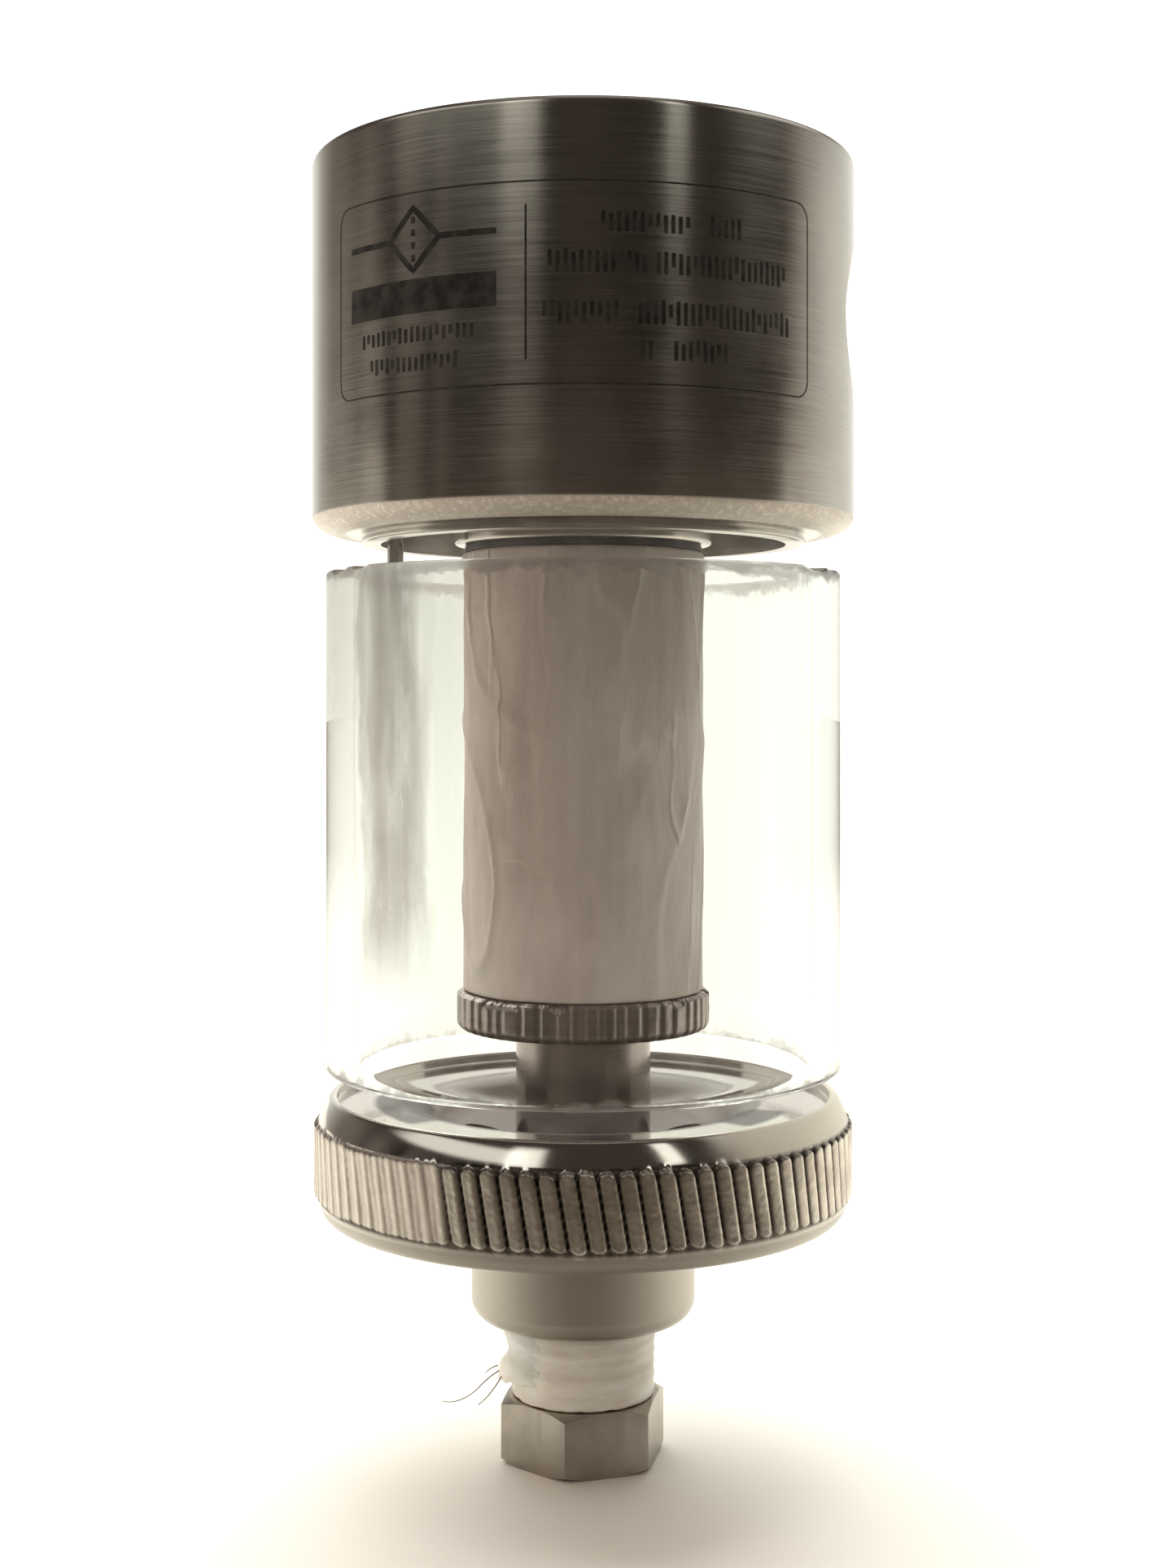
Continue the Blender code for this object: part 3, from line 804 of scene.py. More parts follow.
LABEL_LEFT = -57.0
LABEL_RIGHT = 50.0
LABEL_BOTTOM = 76.6
LABEL_TOP = 89.8
DIVIDER_AZIMUTH = -10.8
SYMBOL_LEFT = -52.5
SYMBOL_RIGHT = -16.5
SYMBOL_HEIGHT = 86.7
SYMBOL_HALF = 2.1  # from the diamond's middle to its corner
BAR_HEIGHT = 82.9
WIDE_LINE = 0.42
THIN_LINE = 0.11
LABEL_WORDS = (  # azimuth it starts at, azimuth it ends at, height of its middle, height of its ticks
    (-49.0, -21.0, 80.4, 1.1), (-46.5, -24.5, 78.5, 1.1), (3.0, 21.0, 87.2, 1.4), (24.5, 32.0, 87.2, 1.4),
    (-7.0, 12.0, 84.6, 1.6), (13.5, 43.0, 84.6, 1.6), (-8.0, 7.0, 81.3, 1.6), (10.0, 44.0, 81.3, 1.6),
    (10.5, 13.0, 78.9, 1.4), (17.0, 29.0, 78.9, 1.4),
)


def make_label():
    """A generic data plate: a frame, a divider, a filter symbol and ticks where lettering would be."""
    marks = Etching(span("head")[0])
    marks.frame(LABEL_LEFT, LABEL_RIGHT, LABEL_BOTTOM, LABEL_TOP, 1.2, THIN_LINE)
    marks.strip([(DIVIDER_AZIMUTH, LABEL_TOP - 1.5), (DIVIDER_AZIMUTH, LABEL_BOTTOM + 1.6)], 0.14)
    middle = (SYMBOL_LEFT + SYMBOL_RIGHT) / 2
    left = (middle - marks.degrees(SYMBOL_HALF), SYMBOL_HEIGHT)
    right = (middle + marks.degrees(SYMBOL_HALF), SYMBOL_HEIGHT)
    upper = (middle, SYMBOL_HEIGHT + SYMBOL_HALF)
    lower = (middle, SYMBOL_HEIGHT - SYMBOL_HALF)
    marks.strip([left, upper, right, lower], WIDE_LINE, closed=True)
    marks.strip([(SYMBOL_LEFT, SYMBOL_HEIGHT), left], WIDE_LINE)
    marks.strip([right, (SYMBOL_RIGHT, SYMBOL_HEIGHT)], WIDE_LINE)
    for i in range(4):
        low = SYMBOL_HEIGHT - 1.5 + i * 0.85
        marks.strip([(middle, low), (middle, low + 0.45)], 0.34)
    marks.strip([(SYMBOL_LEFT, BAR_HEIGHT), (SYMBOL_RIGHT, BAR_HEIGHT)], 2.3)
    pen = random.Random(4)
    for start, end, z, tall in LABEL_WORDS:
        marks.ticks(start, end, z, tall, pen)
    label = mesh_object("label_etching", marks.points, marks.faces)
    finished(label, etching_finish(), "head", "head_steel")


def make_tie_rod():
    radius, bottom, top = span("tie_rod")
    chamfer = 0.3
    side = [(0, top), (radius - chamfer, top), (radius, top - chamfer), (radius, bottom + chamfer)]
    outline = [*dense(side, 0.14), (radius - chamfer, bottom), (0, bottom)]
    thread = thread_shape(ROD_THREAD_DEPTH, FINE_THREAD_PITCH, bottom, ROD_THREAD_TOP)
    rod = lathe("threaded_tie_rod", outline, 64, shape=thread)
    finished(rod, rod_finish(), "head", "rod_steel", "tie_rod")


def make_pin():
    low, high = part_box("locating_pin")
    middle = (low + high) / 2
    radius = (high.x - low.x) / 2 / MM
    length = (high.z - low.z) / MM
    pin = lathe("round_pin", [(0, length), (radius, length), *lower_edge(radius, 0, 0.25), (0, 0)], 32)
    aim(pin, (middle.x / MM, middle.y / MM, low.z / MM), (0, 0, 1))
    finished(pin, polished_finish("pin_steel", (0.32, 0.31, 0.29), 0.2), "head", "pin_steel", "locating_pin")


def make_seal(name, node, bore_radius, body):
    radius, bottom, top = span(node)
    seal = lathe(name, ring_outline(bore_radius, radius, bottom, top, 0.3), 192, closed=True)
    finished(seal, seal_finish(), body, "clear_rubber", node)


GASKET_BORE_RADIUS = 5.3


def make_gasket():
    radius, bottom, top = span("element_top_gasket")
    outline = ring_outline(GASKET_BORE_RADIUS, radius, bottom, top, 0.1)

    def ragged(azimuth, r, z):
        outside = r > (GASKET_BORE_RADIUS + radius) / 2
        return r + 0.06 * grain(azimuth, z, 30, 2.0, 4.0) * outside, z

    gasket = lathe("top_gasket_ring", outline, 160, closed=True, shape=ragged)
    finished(gasket, rubber_finish(), "head", "black_rubber", "element_top_gasket")


ELEMENT_BORE_RADIUS = 6.1
# A stray fibre that clings to the element's front, as (azimuth in degrees, radius, z).
LOOSE_FIBRE = ((-37, 9.55, 44.5), (-30, 9.58, 44.9), (-24, 9.6, 44.7), (-17, 9.6, 43.7), (-9, 9.6, 43.4))


def make_element():
    radius, bottom, top = span("filter_element")
    side = upper_edge(radius, top, 0.25) + lower_edge(radius, bottom, 0.25)
    outline = dense([*side, (ELEMENT_BORE_RADIUS, bottom), (ELEMENT_BORE_RADIUS, top)], 0.35)

    def pressed(azimuth, r, z):
        """Shallow dents and creases in the pressed fibre."""
        if r < ELEMENT_BORE_RADIUS + 0.9:
            return r, z
        dent = 0.16 * grain(azimuth, z, 9, 11.0, 2.0) + 0.04 * grain(azimuth, z, 60, 2.4, 5.0)
        crease = 0.14 * (1.0 - smooth_step(0.0, 0.10, abs(grain(azimuth, z, 8, 14.0, 9.0))))
        return r - 0.16 + dent + crease, z

    element = lathe("fibre_element", outline, 240, closed=True, shape=pressed)
    finished(element, element_finish(), "element", "filter_media", "filter_element")
    path = [round_point(math.radians(azimuth_deg), r, z) for azimuth_deg, r, z in LOOSE_FIBRE]
    material = two_tone_finish("loose_fibre", ((0.82, 0.68, 0.58), (0.96, 0.88, 0.80)), 900.0)
    finished(strand("stray_fibre", path, 0.05), material, "element", "filter_media")


def flute_shape(count, depth, irregular, seed):
    """Straight knurl flutes of uneven width, as a function of azimuth, from 0 to depth."""
    chance = random.Random(seed)
    shifts = [irregular * chance.uniform(-0.5, 0.5) for _ in range(count)]
    deep = [chance.uniform(0.65, 1.0) for _ in range(count)]

    def groove(azimuth):
        place = azimuth / TAU * count % count

        def away(flute):
            return abs(place - flute - shifts[flute % count])

        nearest = min(range(int(place) - 1, int(place) + 3), key=away)
        return depth * deep[nearest % count] * (1.0 - smooth_step(0.05, 0.32, away(nearest)))

    return groove


NUT_FLUTES = 50
NUT_BORE_RADIUS = 3.1
NUT_BOSS_RADIUS = 5.7
NUT_BOSS_HEIGHT = 2.0
STEM_BORE_RADIUS = 3.05
STEM_BORE_BOTTOM = 25.5


def make_retainer():
    radius, bottom, top = span("retainer_nut")
    nut_top = top - NUT_BOSS_HEIGHT
    outline = [
        (NUT_BORE_RADIUS, top),
        (NUT_BOSS_RADIUS - 0.2, top),
        (NUT_BOSS_RADIUS, top - 0.2),
        (NUT_BOSS_RADIUS, nut_top),
        (radius - 0.3, nut_top),
        (radius, nut_top - 0.25),
        *lower_edge(radius, bottom, 0.7, 8),
        (NUT_BORE_RADIUS, bottom),
    ]
    groove = flute_shape(NUT_FLUTES, depth=0.2, irregular=0.6, seed=12)
    chips = random.Random(5)
    chipped = [chips.random() < 0.22 for _ in range(NUT_FLUTES)]

    def knurled(azimuth, r, z):
        """Grooves on the rim, and chips along its top edge."""
        rim = smooth_step(radius - 0.9, radius - 0.3, r)
        chip = 0.0
        if chipped[int(azimuth / TAU * NUT_FLUTES) % NUT_FLUTES]:
            chip = 0.35 * smooth_step(nut_top - 0.7, nut_top, z)
        rough = 0.03 * grain(azimuth, z, 120, 0.8, 3.0)
        return r - rim * (groove(azimuth) + chip + rough), z

    nut = lathe("knurled_nut", dense(outline, 0.3), 600, True, knurled, math.radians(40))
    finished(nut, nut_finish(), "retainer", "nut_steel", "retainer_nut")


def make_stem():
    radius, bottom, top = span("stem")
    outline = [
        (0, STEM_BORE_BOTTOM),
        (STEM_BORE_RADIUS, STEM_BORE_BOTTOM),
        (STEM_BORE_RADIUS, top),
        (radius - 0.25, top),
        (radius, top - 0.25),
        (radius, bottom + 0.5),
        (radius - 0.5, bottom),
        (0, bottom),
    ]
    thread = thread_shape(SMALL_THREAD_DEPTH, FINE_THREAD_PITCH, bottom - 0.8, bottom + 3.6, 0.8)

    def threaded(azimuth, r, z):
        return thread(azimuth, r, z) if r > radius - 0.6 else (r, z)

    stem = lathe("turned_stem", dense(outline, 0.12), 128, shape=threaded)
    finished(stem, polished_finish("stem_steel", (0.34, 0.30, 0.285), 0.18), "retainer", "stem_steel", "stem")


BOWL_BORE_RADIUS = 17.0
RIM_CHIPS = (  # azimuth and half the width in degrees, and depth
    (-66, 5.0, 0.4), (-55, 3.0, 0.3), (60, 6.0, 0.35), (70, 4.0, 0.25), (171, 5.0, 0.4),
)


def make_bowl():
    radius, bottom, top = span("glass_bowl")
    outline = dense(ring_outline(BOWL_BORE_RADIUS, radius, bottom, top, 0.25), 0.8)

    def chipped(azimuth, r, z):
        """The ground rims, uneven and broken away in a few places."""
        near_top = smooth_step(top - 1.2, top, z)
        near_bottom = 1.0 - smooth_step(bottom, bottom + 0.8, z)
        outer = smooth_step(BOWL_BORE_RADIUS, radius, r)
        lost = 0.03 * abs(grain(azimuth, 0.0, 90, 1.0, 1.0))
        for middle_deg, half_deg, depth in RIM_CHIPS:
            away = abs(math.degrees(wrapped(azimuth - math.radians(middle_deg)))) / half_deg
            lost += depth * outer * max(0.0, 1.0 - away * away) * (0.8 + 0.4 * grain(azimuth, 0.0, 200, 1.0))
        rise = 0.05 * abs(grain(azimuth, 0.0, 150, 1.0, 6.0)) * near_bottom
        return r, z - lost * near_top + rise

    glass = lathe("glass_tube", outline, 360, closed=True, shape=chipped)
    finished(glass, glass_finish(), "bowl", "bowl_glass", "glass_bowl")


BASE_RADIUS, BASE_LOWEST, _ = span("knurled_base")
BASE_FLUTES = 92
FLUTE_SLANT = math.radians(10)
FLUTE_DEPTH = 0.45
KNURL_TOP = 25.3
KNURL_BOTTOM = 19.8
DOUBLE_TRACK_DEG = (-82, -26)  # where the knurl was struck twice

BASE_FLOOR = 23.6
SEAT_HEIGHT = 26.4
LIP_RADIUS = 13.2
LIP_CURVE = 2.6
DISH_CURVE = 3.2
DISH_SLOPE_DEG = 50
SEAT_OUTER_RADIUS = 18.2
SHOULDER_CREST = 27.1
SHOULDER_CREST_RADIUS = 18.45
CREST_CURVE = 0.4
CREST_START_DEG = 128
SHOULDER_CURVE = 7.6
SHOULDER_SLOPE_DEG = 32
BASE_BOTTOM = 18.3
BASE_BOTTOM_RADIUS = 18.4
COLLAR_RADIUS = 8.3
COLLAR_EDGE = 1.5
COLLAR_FILLET = 0.35
STEM_SOCKET_RADIUS = 5.05
STEM_SOCKET_FLOOR = 20.4
DRAIN_BORE_RADIUS = 5.4
DRAIN_BORE_TOP = 17.2
POCKET_OFFSET = 7.05
POCKET_RADIUS = 1.85
POCKET_FLOOR = 20.6
DRAIN_DRILLING_OFFSET = 3.5
DRAIN_DRILLING_RADIUS = 0.9
BOTTOM_SEAL_BORE_RADIUS = 16.82


def base_outline():
    """From the floor over its rounded wall, the glass's seat, the shoulder and the knurl to the collar."""
    valley = BASE_RADIUS - FLUTE_DEPTH
    lip_centre = (LIP_RADIUS, SEAT_HEIGHT - LIP_CURVE)
    dish_centre = on_circle(lip_centre, LIP_CURVE + DISH_CURVE, 90 + DISH_SLOPE_DEG)
    crest_centre = (SHOULDER_CREST_RADIUS, SHOULDER_CREST - CREST_CURVE)
    shoulder_centre = on_circle(crest_centre, CREST_CURVE - SHOULDER_CURVE, SHOULDER_SLOPE_DEG)
    shoulder_end = math.degrees(math.acos((valley - shoulder_centre[0]) / SHOULDER_CURVE))
    underside_size = (valley - BASE_BOTTOM_RADIUS, KNURL_BOTTOM - BASE_BOTTOM)
    fillet_centre = (COLLAR_RADIUS + COLLAR_FILLET, BASE_BOTTOM - COLLAR_FILLET)
    return [
        (0, BASE_FLOOR),
        (STEM_SOCKET_RADIUS + 1.0, BASE_FLOOR),
        *arc(dish_centre, DISH_CURVE, -90, DISH_SLOPE_DEG - 90, 14),
        *arc(lip_centre, LIP_CURVE, 90 + DISH_SLOPE_DEG, 90, 14)[1:],
        (SEAT_OUTER_RADIUS - 0.1, SEAT_HEIGHT),
        (SEAT_OUTER_RADIUS, SEAT_HEIGHT + 0.1),
        *arc(crest_centre, CREST_CURVE, CREST_START_DEG, SHOULDER_SLOPE_DEG, 12),
        *arc(shoulder_centre, SHOULDER_CURVE, SHOULDER_SLOPE_DEG, shoulder_end, 8)[1:],
        *dense([(valley, KNURL_TOP), (valley, KNURL_BOTTOM)], 0.11),
        *arc((BASE_BOTTOM_RADIUS, KNURL_BOTTOM), underside_size, 0, -90, 12),
        (COLLAR_RADIUS + 3.0, BASE_BOTTOM),
        *arc(fillet_centre, (-COLLAR_FILLET, COLLAR_FILLET), 90, 0, 5),
        *lower_edge(COLLAR_RADIUS, BASE_LOWEST, COLLAR_EDGE, 12),
        (DRAIN_BORE_RADIUS + 0.6, BASE_LOWEST),
        (DRAIN_BORE_RADIUS + 0.2, BASE_LOWEST + 0.4),
        (0, BASE_LOWEST + 0.4),
    ]


def ridge(place, end_gap):
    """Height, 0 to 1, of a rounded bar across one flute, which leans a little and has round ends."""
    across = 2.0 * (place % 1.0) - 1.0
    leaning = 0.74 + 0.26 * across
    rounded = leaning * (1.0 - abs(across) ** (3.5 if across > 0 else 8))
    half_width = 0.68
    reach = half_width * (1.0 - math.sqrt(max(0.0, 1.0 - across * across)))
    return rounded * smooth_step(reach - 0.05, reach + 0.25, end_gap)


def knurled_band(azimuth, r, z):
    """The slanted, rounded bars of the knurl, struck twice where the tool ran unevenly."""
    if r < BASE_RADIUS - FLUTE_DEPTH - 0.02 or not KNURL_BOTTOM - 0.1 < z < KNURL_TOP + 0.1:
        return r, z
    middle = (KNURL_TOP + KNURL_BOTTOM) / 2
    slanted = azimuth + (z - middle) * math.tan(FLUTE_SLANT) / BASE_RADIUS
    place = slanted / TAU * BASE_FLUTES + 0.10 * grain(azimuth, z, 14, 30.0, 2.0)
    gap = min(KNURL_TOP - z, z - KNURL_BOTTOM) + 0.18 * grain(azimuth, 0.0, 60, 1.0, 8.0)
    height = ridge(place, gap)
    start, end = (math.radians(angle) for angle in DOUBLE_TRACK_DEG)
    side = wrapped(azimuth)
    struck = smooth_step(start - 0.1, start + 0.15, side) * (1.0 - smooth_step(end - 0.15, end + 0.1, side))
    if struck > 0:
        second = ridge(place + 0.42 + 0.25 * grain(azimuth, z, 20, 3.5, 4.0), gap)
        height = height * (1.0 - struck) + struck * max(height * 0.85, second * 0.75)
    rough = 0.05 * grain(azimuth, z, 300, 0.35, 5.0) + 0.04 * grain(azimuth, z, 120, 1.2, 7.0)
    return r + FLUTE_DEPTH * height * (0.93 + rough), z


def make_base():
    base = lathe("knurled_cap", base_outline(), BASE_FLUTES * 12, shape=knurled_band, sharp=math.radians(50))
    above = BASE_FLOOR + 1.4
    socket = drilling("stem_socket", (0, 0, STEM_SOCKET_FLOOR), (0, 0, above), STEM_SOCKET_RADIUS, 64)
    bore = drilling("drain_bore", (0, 0, BASE_LOWEST - 1), (0, 0, DRAIN_BORE_TOP), DRAIN_BORE_RADIUS, 64)
    cutters = [socket, bore]
    for side in (-1, 1):
        pocket = side * POCKET_OFFSET
        cutters.append(drilling("drain_pocket", (pocket, 0, POCKET_FLOOR), (pocket, 0, above), POCKET_RADIUS))
        inner_end = (side * DRAIN_DRILLING_OFFSET, 0, DRAIN_BORE_TOP - 1.2)
        outer_end = (pocket, 0, POCKET_FLOOR + 0.3)
        cutters.append(drilling("drain_drilling", inner_end, outer_end, DRAIN_DRILLING_RADIUS, 16))
    cut(base, cutters)
    finished(base, base_finish(), "base", "base_steel", "knurled_base")


HEX_TOP = 4.7
HEX_ACROSS_FLATS = 11.0
HEX_TURN = math.radians(-12)
HEX_CHAMFER_RADIUS = 5.6
HEX_CHAMFER_SLOPE = math.tan(math.radians(30))
NECK_RADIUS = 4.9
NECK_HEIGHT = 0.4
SHANK_RADIUS = 4.95
SHANK_END_RADIUS = 4.3


def make_hexagon(material):
    """The hexagon with its chamfered ends, cut from a turned blank."""
    corner = HEX_ACROSS_FLATS / math.sqrt(3.0)
    beyond = corner + 0.6
    drop = (beyond - HEX_CHAMFER_RADIUS) * HEX_CHAMFER_SLOPE
    outline = [
        (0, HEX_TOP + NECK_HEIGHT),
        (NECK_RADIUS, HEX_TOP + NECK_HEIGHT),
        (NECK_RADIUS, HEX_TOP),
        (HEX_CHAMFER_RADIUS, HEX_TOP),
        (beyond, HEX_TOP - drop),
        (beyond, drop * 0.8),
        (HEX_CHAMFER_RADIUS, 0.0),
        (0, 0.0),
    ]
    hexagon = lathe("hexagon_plug", dense(outline, 0.5), 96)
    bar = lathe("hexagon_bar", [(0, 8), (corner, 8), (corner, -1), (0, -1)], 6)
    bar.data.transform(Matrix.Rotation(HEX_TURN, 4, "Z"))
    keep = hexagon.modifiers.new("flats", "BOOLEAN")
    keep.operation = "INTERSECT"
    keep.object = bar
    bevel = hexagon.modifiers.new("edges", "BEVEL")
    bevel.width = 0.13 * MM
    bevel.segments = 3
    bevel.limit_method = "ANGLE"
    bevel.angle_limit = math.radians(25)
    apply_modifiers(hexagon)
    bpy.data.objects.remove(bar)
    finished(hexagon, material, "plug", "plug_steel", "drain_plug")


def make_plug():
    material = plug_finish()
    make_hexagon(material)
    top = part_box("drain_plug")[1].z / MM
    bottom = HEX_TOP + NECK_HEIGHT + 0.05
    side = [(0, top), (SHANK_END_RADIUS, top), (SHANK_RADIUS, top - 0.7), (SHANK_RADIUS, bottom)]
    thread = thread_shape(SMALL_THREAD_DEPTH, PIPE_THREAD_PITCH, HEX_TOP, top + 1.0, 0.6)
    shank = lathe("plug_shank", [*dense(side, 0.12), (0, bottom)], 96, shape=thread)
    finished(shank, material, "plug", "plug_steel")


TAPE_THICKNESS = 0.3
TAPE_BOTTOM = HEX_TOP + 0.05
TAPE_RIPPLE_TOP = 10.9  # the tape's upper rim stays smooth
# Threads of torn tape, as points (x, y, z), which hang from the flap's lower corner.
TAPE_WISPS = (
    (
        (-6.2, -1.4, 6.6), (-7.0, -1.8, 6.2), (-7.6, -2.0, 5.6),
        (-8.4, -2.2, 4.9), (-9.6, -2.4, 4.5), (-10.3, -2.5, 4.7),
    ),
    ((-6.0, -1.8, 6.3), (-6.5, -2.1, 5.5), (-7.1, -2.4, 4.8), (-7.7, -2.4, 4.4)),
    ((-6.3, -1.2, 6.9), (-6.8, -1.5, 6.9), (-7.2, -1.7, 6.5)),
)


def tape_ripple(azimuth, z):
    """How the wound tape follows the thread under it, with wrinkles."""
    thread = math.sin(TAU * (z / PIPE_THREAD_PITCH - azimuth / TAU))
    return 0.045 * thread + 0.05 * grain(azimuth, z, 16, 1.6, 3.0) + 0.03 * grain(azimuth, z, 50, 0.5, 6.0)


def make_tape():
    radius, _, top = span("thread_tape")
    inner = radius - TAPE_THICKNESS

    def wound(azimuth, r, z):
        if r < inner + 0.05:
            return r, z
        near_bottom = 1.0 - smooth_step(TAPE_BOTTOM, TAPE_BOTTOM + 1.0, z)
        ragged = 0.25 * grain(azimuth, 0.0, 26, 1.0, 9.0) * near_bottom
        return r - 0.03 + tape_ripple(azimuth, z) * (z < TAPE_RIPPLE_TOP), z + max(ragged, 0.0)

    outline = dense(ring_outline(inner, radius, TAPE_BOTTOM, top, 0.1), 0.14)
    sleeve = lathe("tape_sleeve", outline, 180, closed=True, shape=wound, sharp=math.radians(60))
    material = tape_finish()
    finished(sleeve, material, "tape", "thread_tape", "thread_tape")
    finished(tape_flap("tape_flap", radius), material, "tape", "thread_tape")
    # painted shade: the torn wisps are the white tape given a dark grey
    wisp_shade_finish = two_tone_finish("tape_wisps_painted_shade", ((0.26, 0.24, 0.21), (0.46, 0.43, 0.38)), 700.0)
    for index, wisp in enumerate(TAPE_WISPS):
        finished(strand(f"tape_wisp_{index + 1}", wisp, 0.06), wisp_shade_finish, "tape", "thread_tape")


def flap_point(radius, along, down):
    """A point of the tape's loose end, both shares 0 to 1: along from the thread, and down its width."""
    azimuth = math.radians(-38 - 62 * along)
    top = 10.35 - 0.2 * along
    bottom = 6.4 - 1.1 * along + 0.35 * grain(azimuth * 3, 0.0, 20, 1.0, 2.0)
    pinch = 1.0 - 0.75 * math.exp(-(((down - 0.5) / 0.16) ** 2))
    lift = 0.13 * smooth_step(0.0, 0.2, along) - 0.08 + 1.15 * along * along * pinch * (0.5 + 0.5 * down)
    crease = 0.10 * noise.noise((along * 5.0, down * 7.0, 1.0)) * along
    return round_point(azimuth, radius + lift + crease, top + (bottom - top) * down)


def tape_flap(name, radius):
    """The loose end of the tape, a creased sheet that stands off the thread at the left."""
    columns, rows = 28, 30
    sheet = []
    for i in range(columns + 1):
        sheet += [metres(flap_point(radius, i / columns, j / rows)) for j in range(rows + 1)]
    faces = []
    for i in range(columns):
        for j in range(rows):
            a = i * (rows + 1) + j
            faces.append((a, a + 1, a + rows + 2, a + rows + 1))
    flap = mesh_object(name, sheet, faces)
    thick = flap.modifiers.new("thickness", "SOLIDIFY")
    thick.thickness = 0.05 * MM
    apply_modifiers(flap)
    return flap


# ---------------------------------------------------------------- studio

# The studio's glow at eye level by azimuth in degrees: white behind, dim in front with a few soft strips.
STUDIO_GLOW = (
    (-180, 1.3), (-155, 0.9), (-143, 0.5), (-130, 0.23), (-118, 0.21), (-108, 0.12), (-99, 0.20), (-92, 0.10),
    (-85, 0.015), (-80, 0.15), (-73, 0.13), (-66, 0.02), (-60, 0.09), (-54, 0.015), (-42, 0.01), (-33, 0.05),
    (-28, 0.09), (-21, 0.06), (-13, 0.02), (-4, 0.035), (7, 0.03), (20, 0.012), (32, 0.015), (42, 0.035),
    (53, 0.018), (66, 0.02), (80, 0.035), (92, 0.04), (106, 0.46), (125, 0.8), (145, 0.9), (180, 1.3),
)
DIM_TINT = (1.0, 0.80, 0.68)
BRIGHT_TINT = (1.0, 0.985, 0.90)
DIFFUSE_GAIN = 1.2  # how much more light matt surfaces get from the studio than shiny ones mirror
DIFFUSE_FILL = 0.34
SIDE_FILL = 0.75  # what a window at the left adds
CEILING_START_DEG = 14
CEILING_END_DEG = 31
CEILING_SHARE = 0.1  # what is left of the softboxes above them, for shiny surfaces
CEILING_GLOW = 0.06
CEILING_PANEL = 0.3  # straight above
LAMPS = (  # azimuth, half its width, lowest and highest elevation, all in degrees, and glow
    (-27, 11, 24, 48, 1.4),
    (-62, 44, 26, 44, 1.1),
    (41, 6, 24, 52, 1.7),
    (104, 44, 25, 56, 0.75),
)
BACKDROP = (1.0, 1.0, 0.99)
BACKDROP_STRENGTH = 1.5
SEEN_THROUGH_GLASS = (1.0, 1.0, 0.885)
SEEN_THROUGH_STRENGTH = 1.24
SEEN_THROUGH_DEG = (13, 20)  # the elevations between which the glass's tint ends


def elevation(degrees):
    """The Z of a direction of length 1 at an elevation."""
    return math.sin(math.radians(degrees))


def eye_level_glow(azimuth):
    """STUDIO_GLOW as a colour ramp around the horizon."""
    most = max(glow for _, glow in STUDIO_GLOW)
    ramp = azimuth.nodes.add("ShaderNodeValToRGB", (azimuth.math("DIVIDE", TAU) + 0.5,))
    stops = ramp.socket.node.color_ramp.elements
    for index, (degrees, _) in enumerate(STUDIO_GLOW):
        position = degrees / 360 + 0.5
        stop = stops[index] if index < 2 else stops.new(position)
        stop.position = position
    for stop, (_, glow) in zip(sorted(stops, key=lambda s: s.position), STUDIO_GLOW):
        stop.color = (glow / most, glow / most, glow / most, 1.0)
    return ramp * most


def mirrored_glow(level, azimuth, z):
    """What shiny surfaces mirror: the studio at eye level, a dim ceiling with a panel, and lamps."""
    ceiling = (elevation(CEILING_START_DEG), elevation(CEILING_END_DEG))
    glow = level * z.spread(*ceiling, 1.0, CEILING_SHARE) + z.spread(*ceiling, 0.0, CEILING_GLOW)
    glow = glow + z.spread(0.86, 0.97, 0.0, CEILING_PANEL)
    for middle, half, lowest, highest, strength in LAMPS:
        left, right, edge = (math.radians(angle) for angle in (middle - half, middle + half, half / 2))
        above = z.band(elevation(lowest), elevation(highest), 0.06)
        glow = glow + azimuth.band(left, right, edge) * above * strength
    return glow


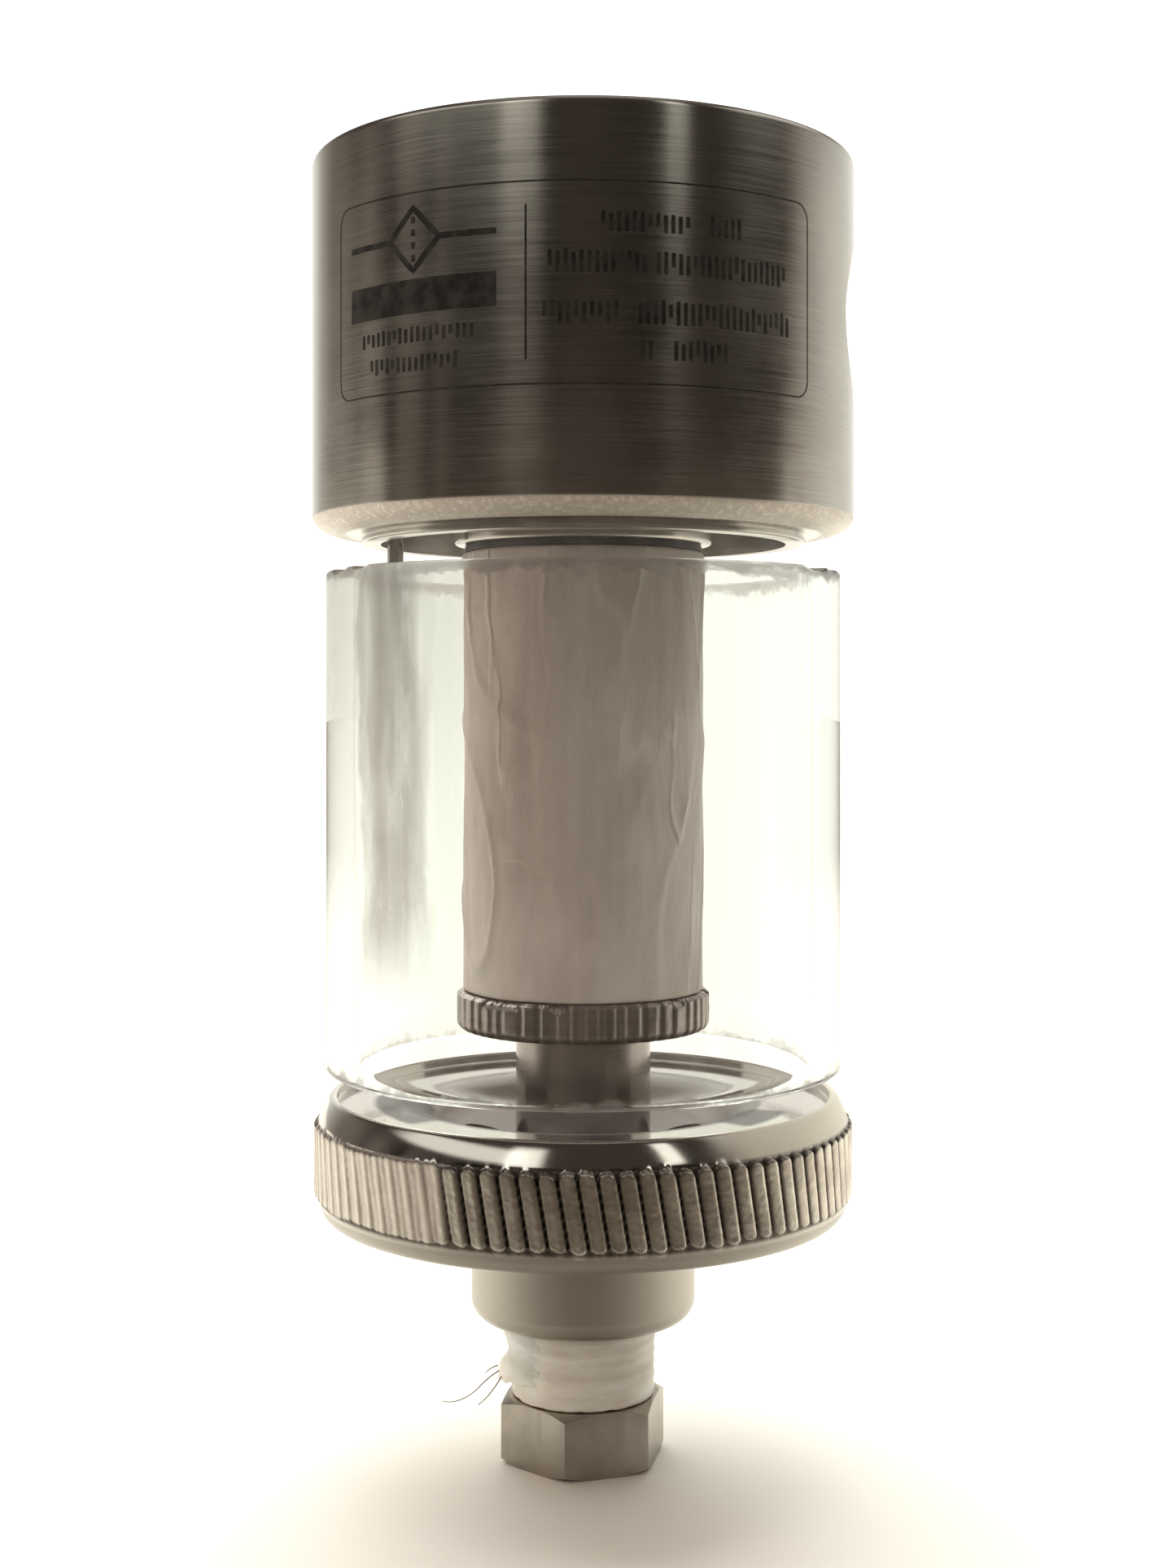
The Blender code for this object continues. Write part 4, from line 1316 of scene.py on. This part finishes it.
def make_world():
    """A bright white backdrop behind the object and a dim, warm room in front of it."""
    world = bpy.data.worlds.new("studio")
    bpy.context.scene.world = world
    world.use_nodes = True
    nodes = Nodes(world.node_tree)
    nodes.tree.nodes.clear()
    direction = nodes.add("ShaderNodeTexCoord", output="Generated")
    azimuth = direction.azimuth()
    _, y, z = direction.axes()
    soft = nodes.ray("Diffuse Depth").math("MINIMUM", 1.0)
    hard = 1.0 - soft
    level = eye_level_glow(azimuth)
    glow = mirrored_glow(level, azimuth, z) * hard + level * soft
    tint = (glow * 1.6).math("MINIMUM", 1.0).mix(DIM_TINT, BRIGHT_TINT)
    at_the_left = azimuth.band(math.radians(-150), math.radians(-10), 0.5)
    fill = at_the_left * SIDE_FILL + DIFFUSE_FILL
    room = nodes.add("ShaderNodeBackground", (tint, glow + soft * (glow * DIFFUSE_GAIN + fill)))

    behind = y.math("GREATER_THAN", 0.0) * z.fade(*map(elevation, SEEN_THROUGH_DEG))
    through = nodes.ray("Is Transmission Ray") * (behind * hard)
    behind_glass = nodes.add("ShaderNodeBackground", (SEEN_THROUGH_GLASS, SEEN_THROUGH_STRENGTH))
    backdrop = nodes.add("ShaderNodeBackground", (BACKDROP, BACKDROP_STRENGTH))
    seen = nodes.ray("Is Camera Ray").blend(through.blend(room, behind_glass), backdrop)
    nodes.join(seen, nodes.tree.nodes.new("ShaderNodeOutputWorld").inputs["Surface"])


def make_studio():
    make_world()
    bpy.context.scene.view_settings.view_transform = "Standard"
    reach = 6.0  # metres
    corners = [(-reach, -reach, 0), (reach, -reach, 0), (reach, reach, 0), (-reach, reach, 0)]
    floor = mesh_object("floor", corners, [(0, 1, 2, 3)])
    floor.data.materials.append(floor_finish())
    softbox = bpy.data.lights.new("back_softbox", "SUN")
    softbox.energy = 3.8
    softbox.angle = math.radians(70)
    softbox.color = (1.0, 0.985, 0.94)
    lamp = linked("back_softbox", softbox)
    lamp.rotation_euler = (math.radians(-32), math.radians(-9), 0)
    lamp.visible_glossy = False


CAMERA_DISTANCE = 156.25
CAMERA_HEIGHT = 55.8


def make_camera():
    """The photograph's camera: level, at the height of the glass, close enough for strong perspective."""
    lens = bpy.data.cameras.new("camera")
    lens.lens = 48.2
    lens.shift_x = 0.0031
    lens.shift_y = -0.0514
    lens.clip_start = 10 * MM
    camera = linked("camera", lens)
    camera.location = metres((0, -CAMERA_DISTANCE, CAMERA_HEIGHT))
    camera.rotation_euler = (math.radians(90), 0, 0)
    bpy.context.scene.camera = camera


make_camera()
make_studio()
make_head()
make_label()
make_tie_rod()
make_pin()
make_seal("top_seal_ring", "top_bowl_seal", SPIGOT_RADIUS + 0.08, "head")
make_gasket()
make_element()
make_retainer()
make_stem()
make_bowl()
make_seal("bottom_seal_ring", "bottom_bowl_seal", BOTTOM_SEAL_BORE_RADIUS, "bowl")
make_base()
make_plug()
make_tape()
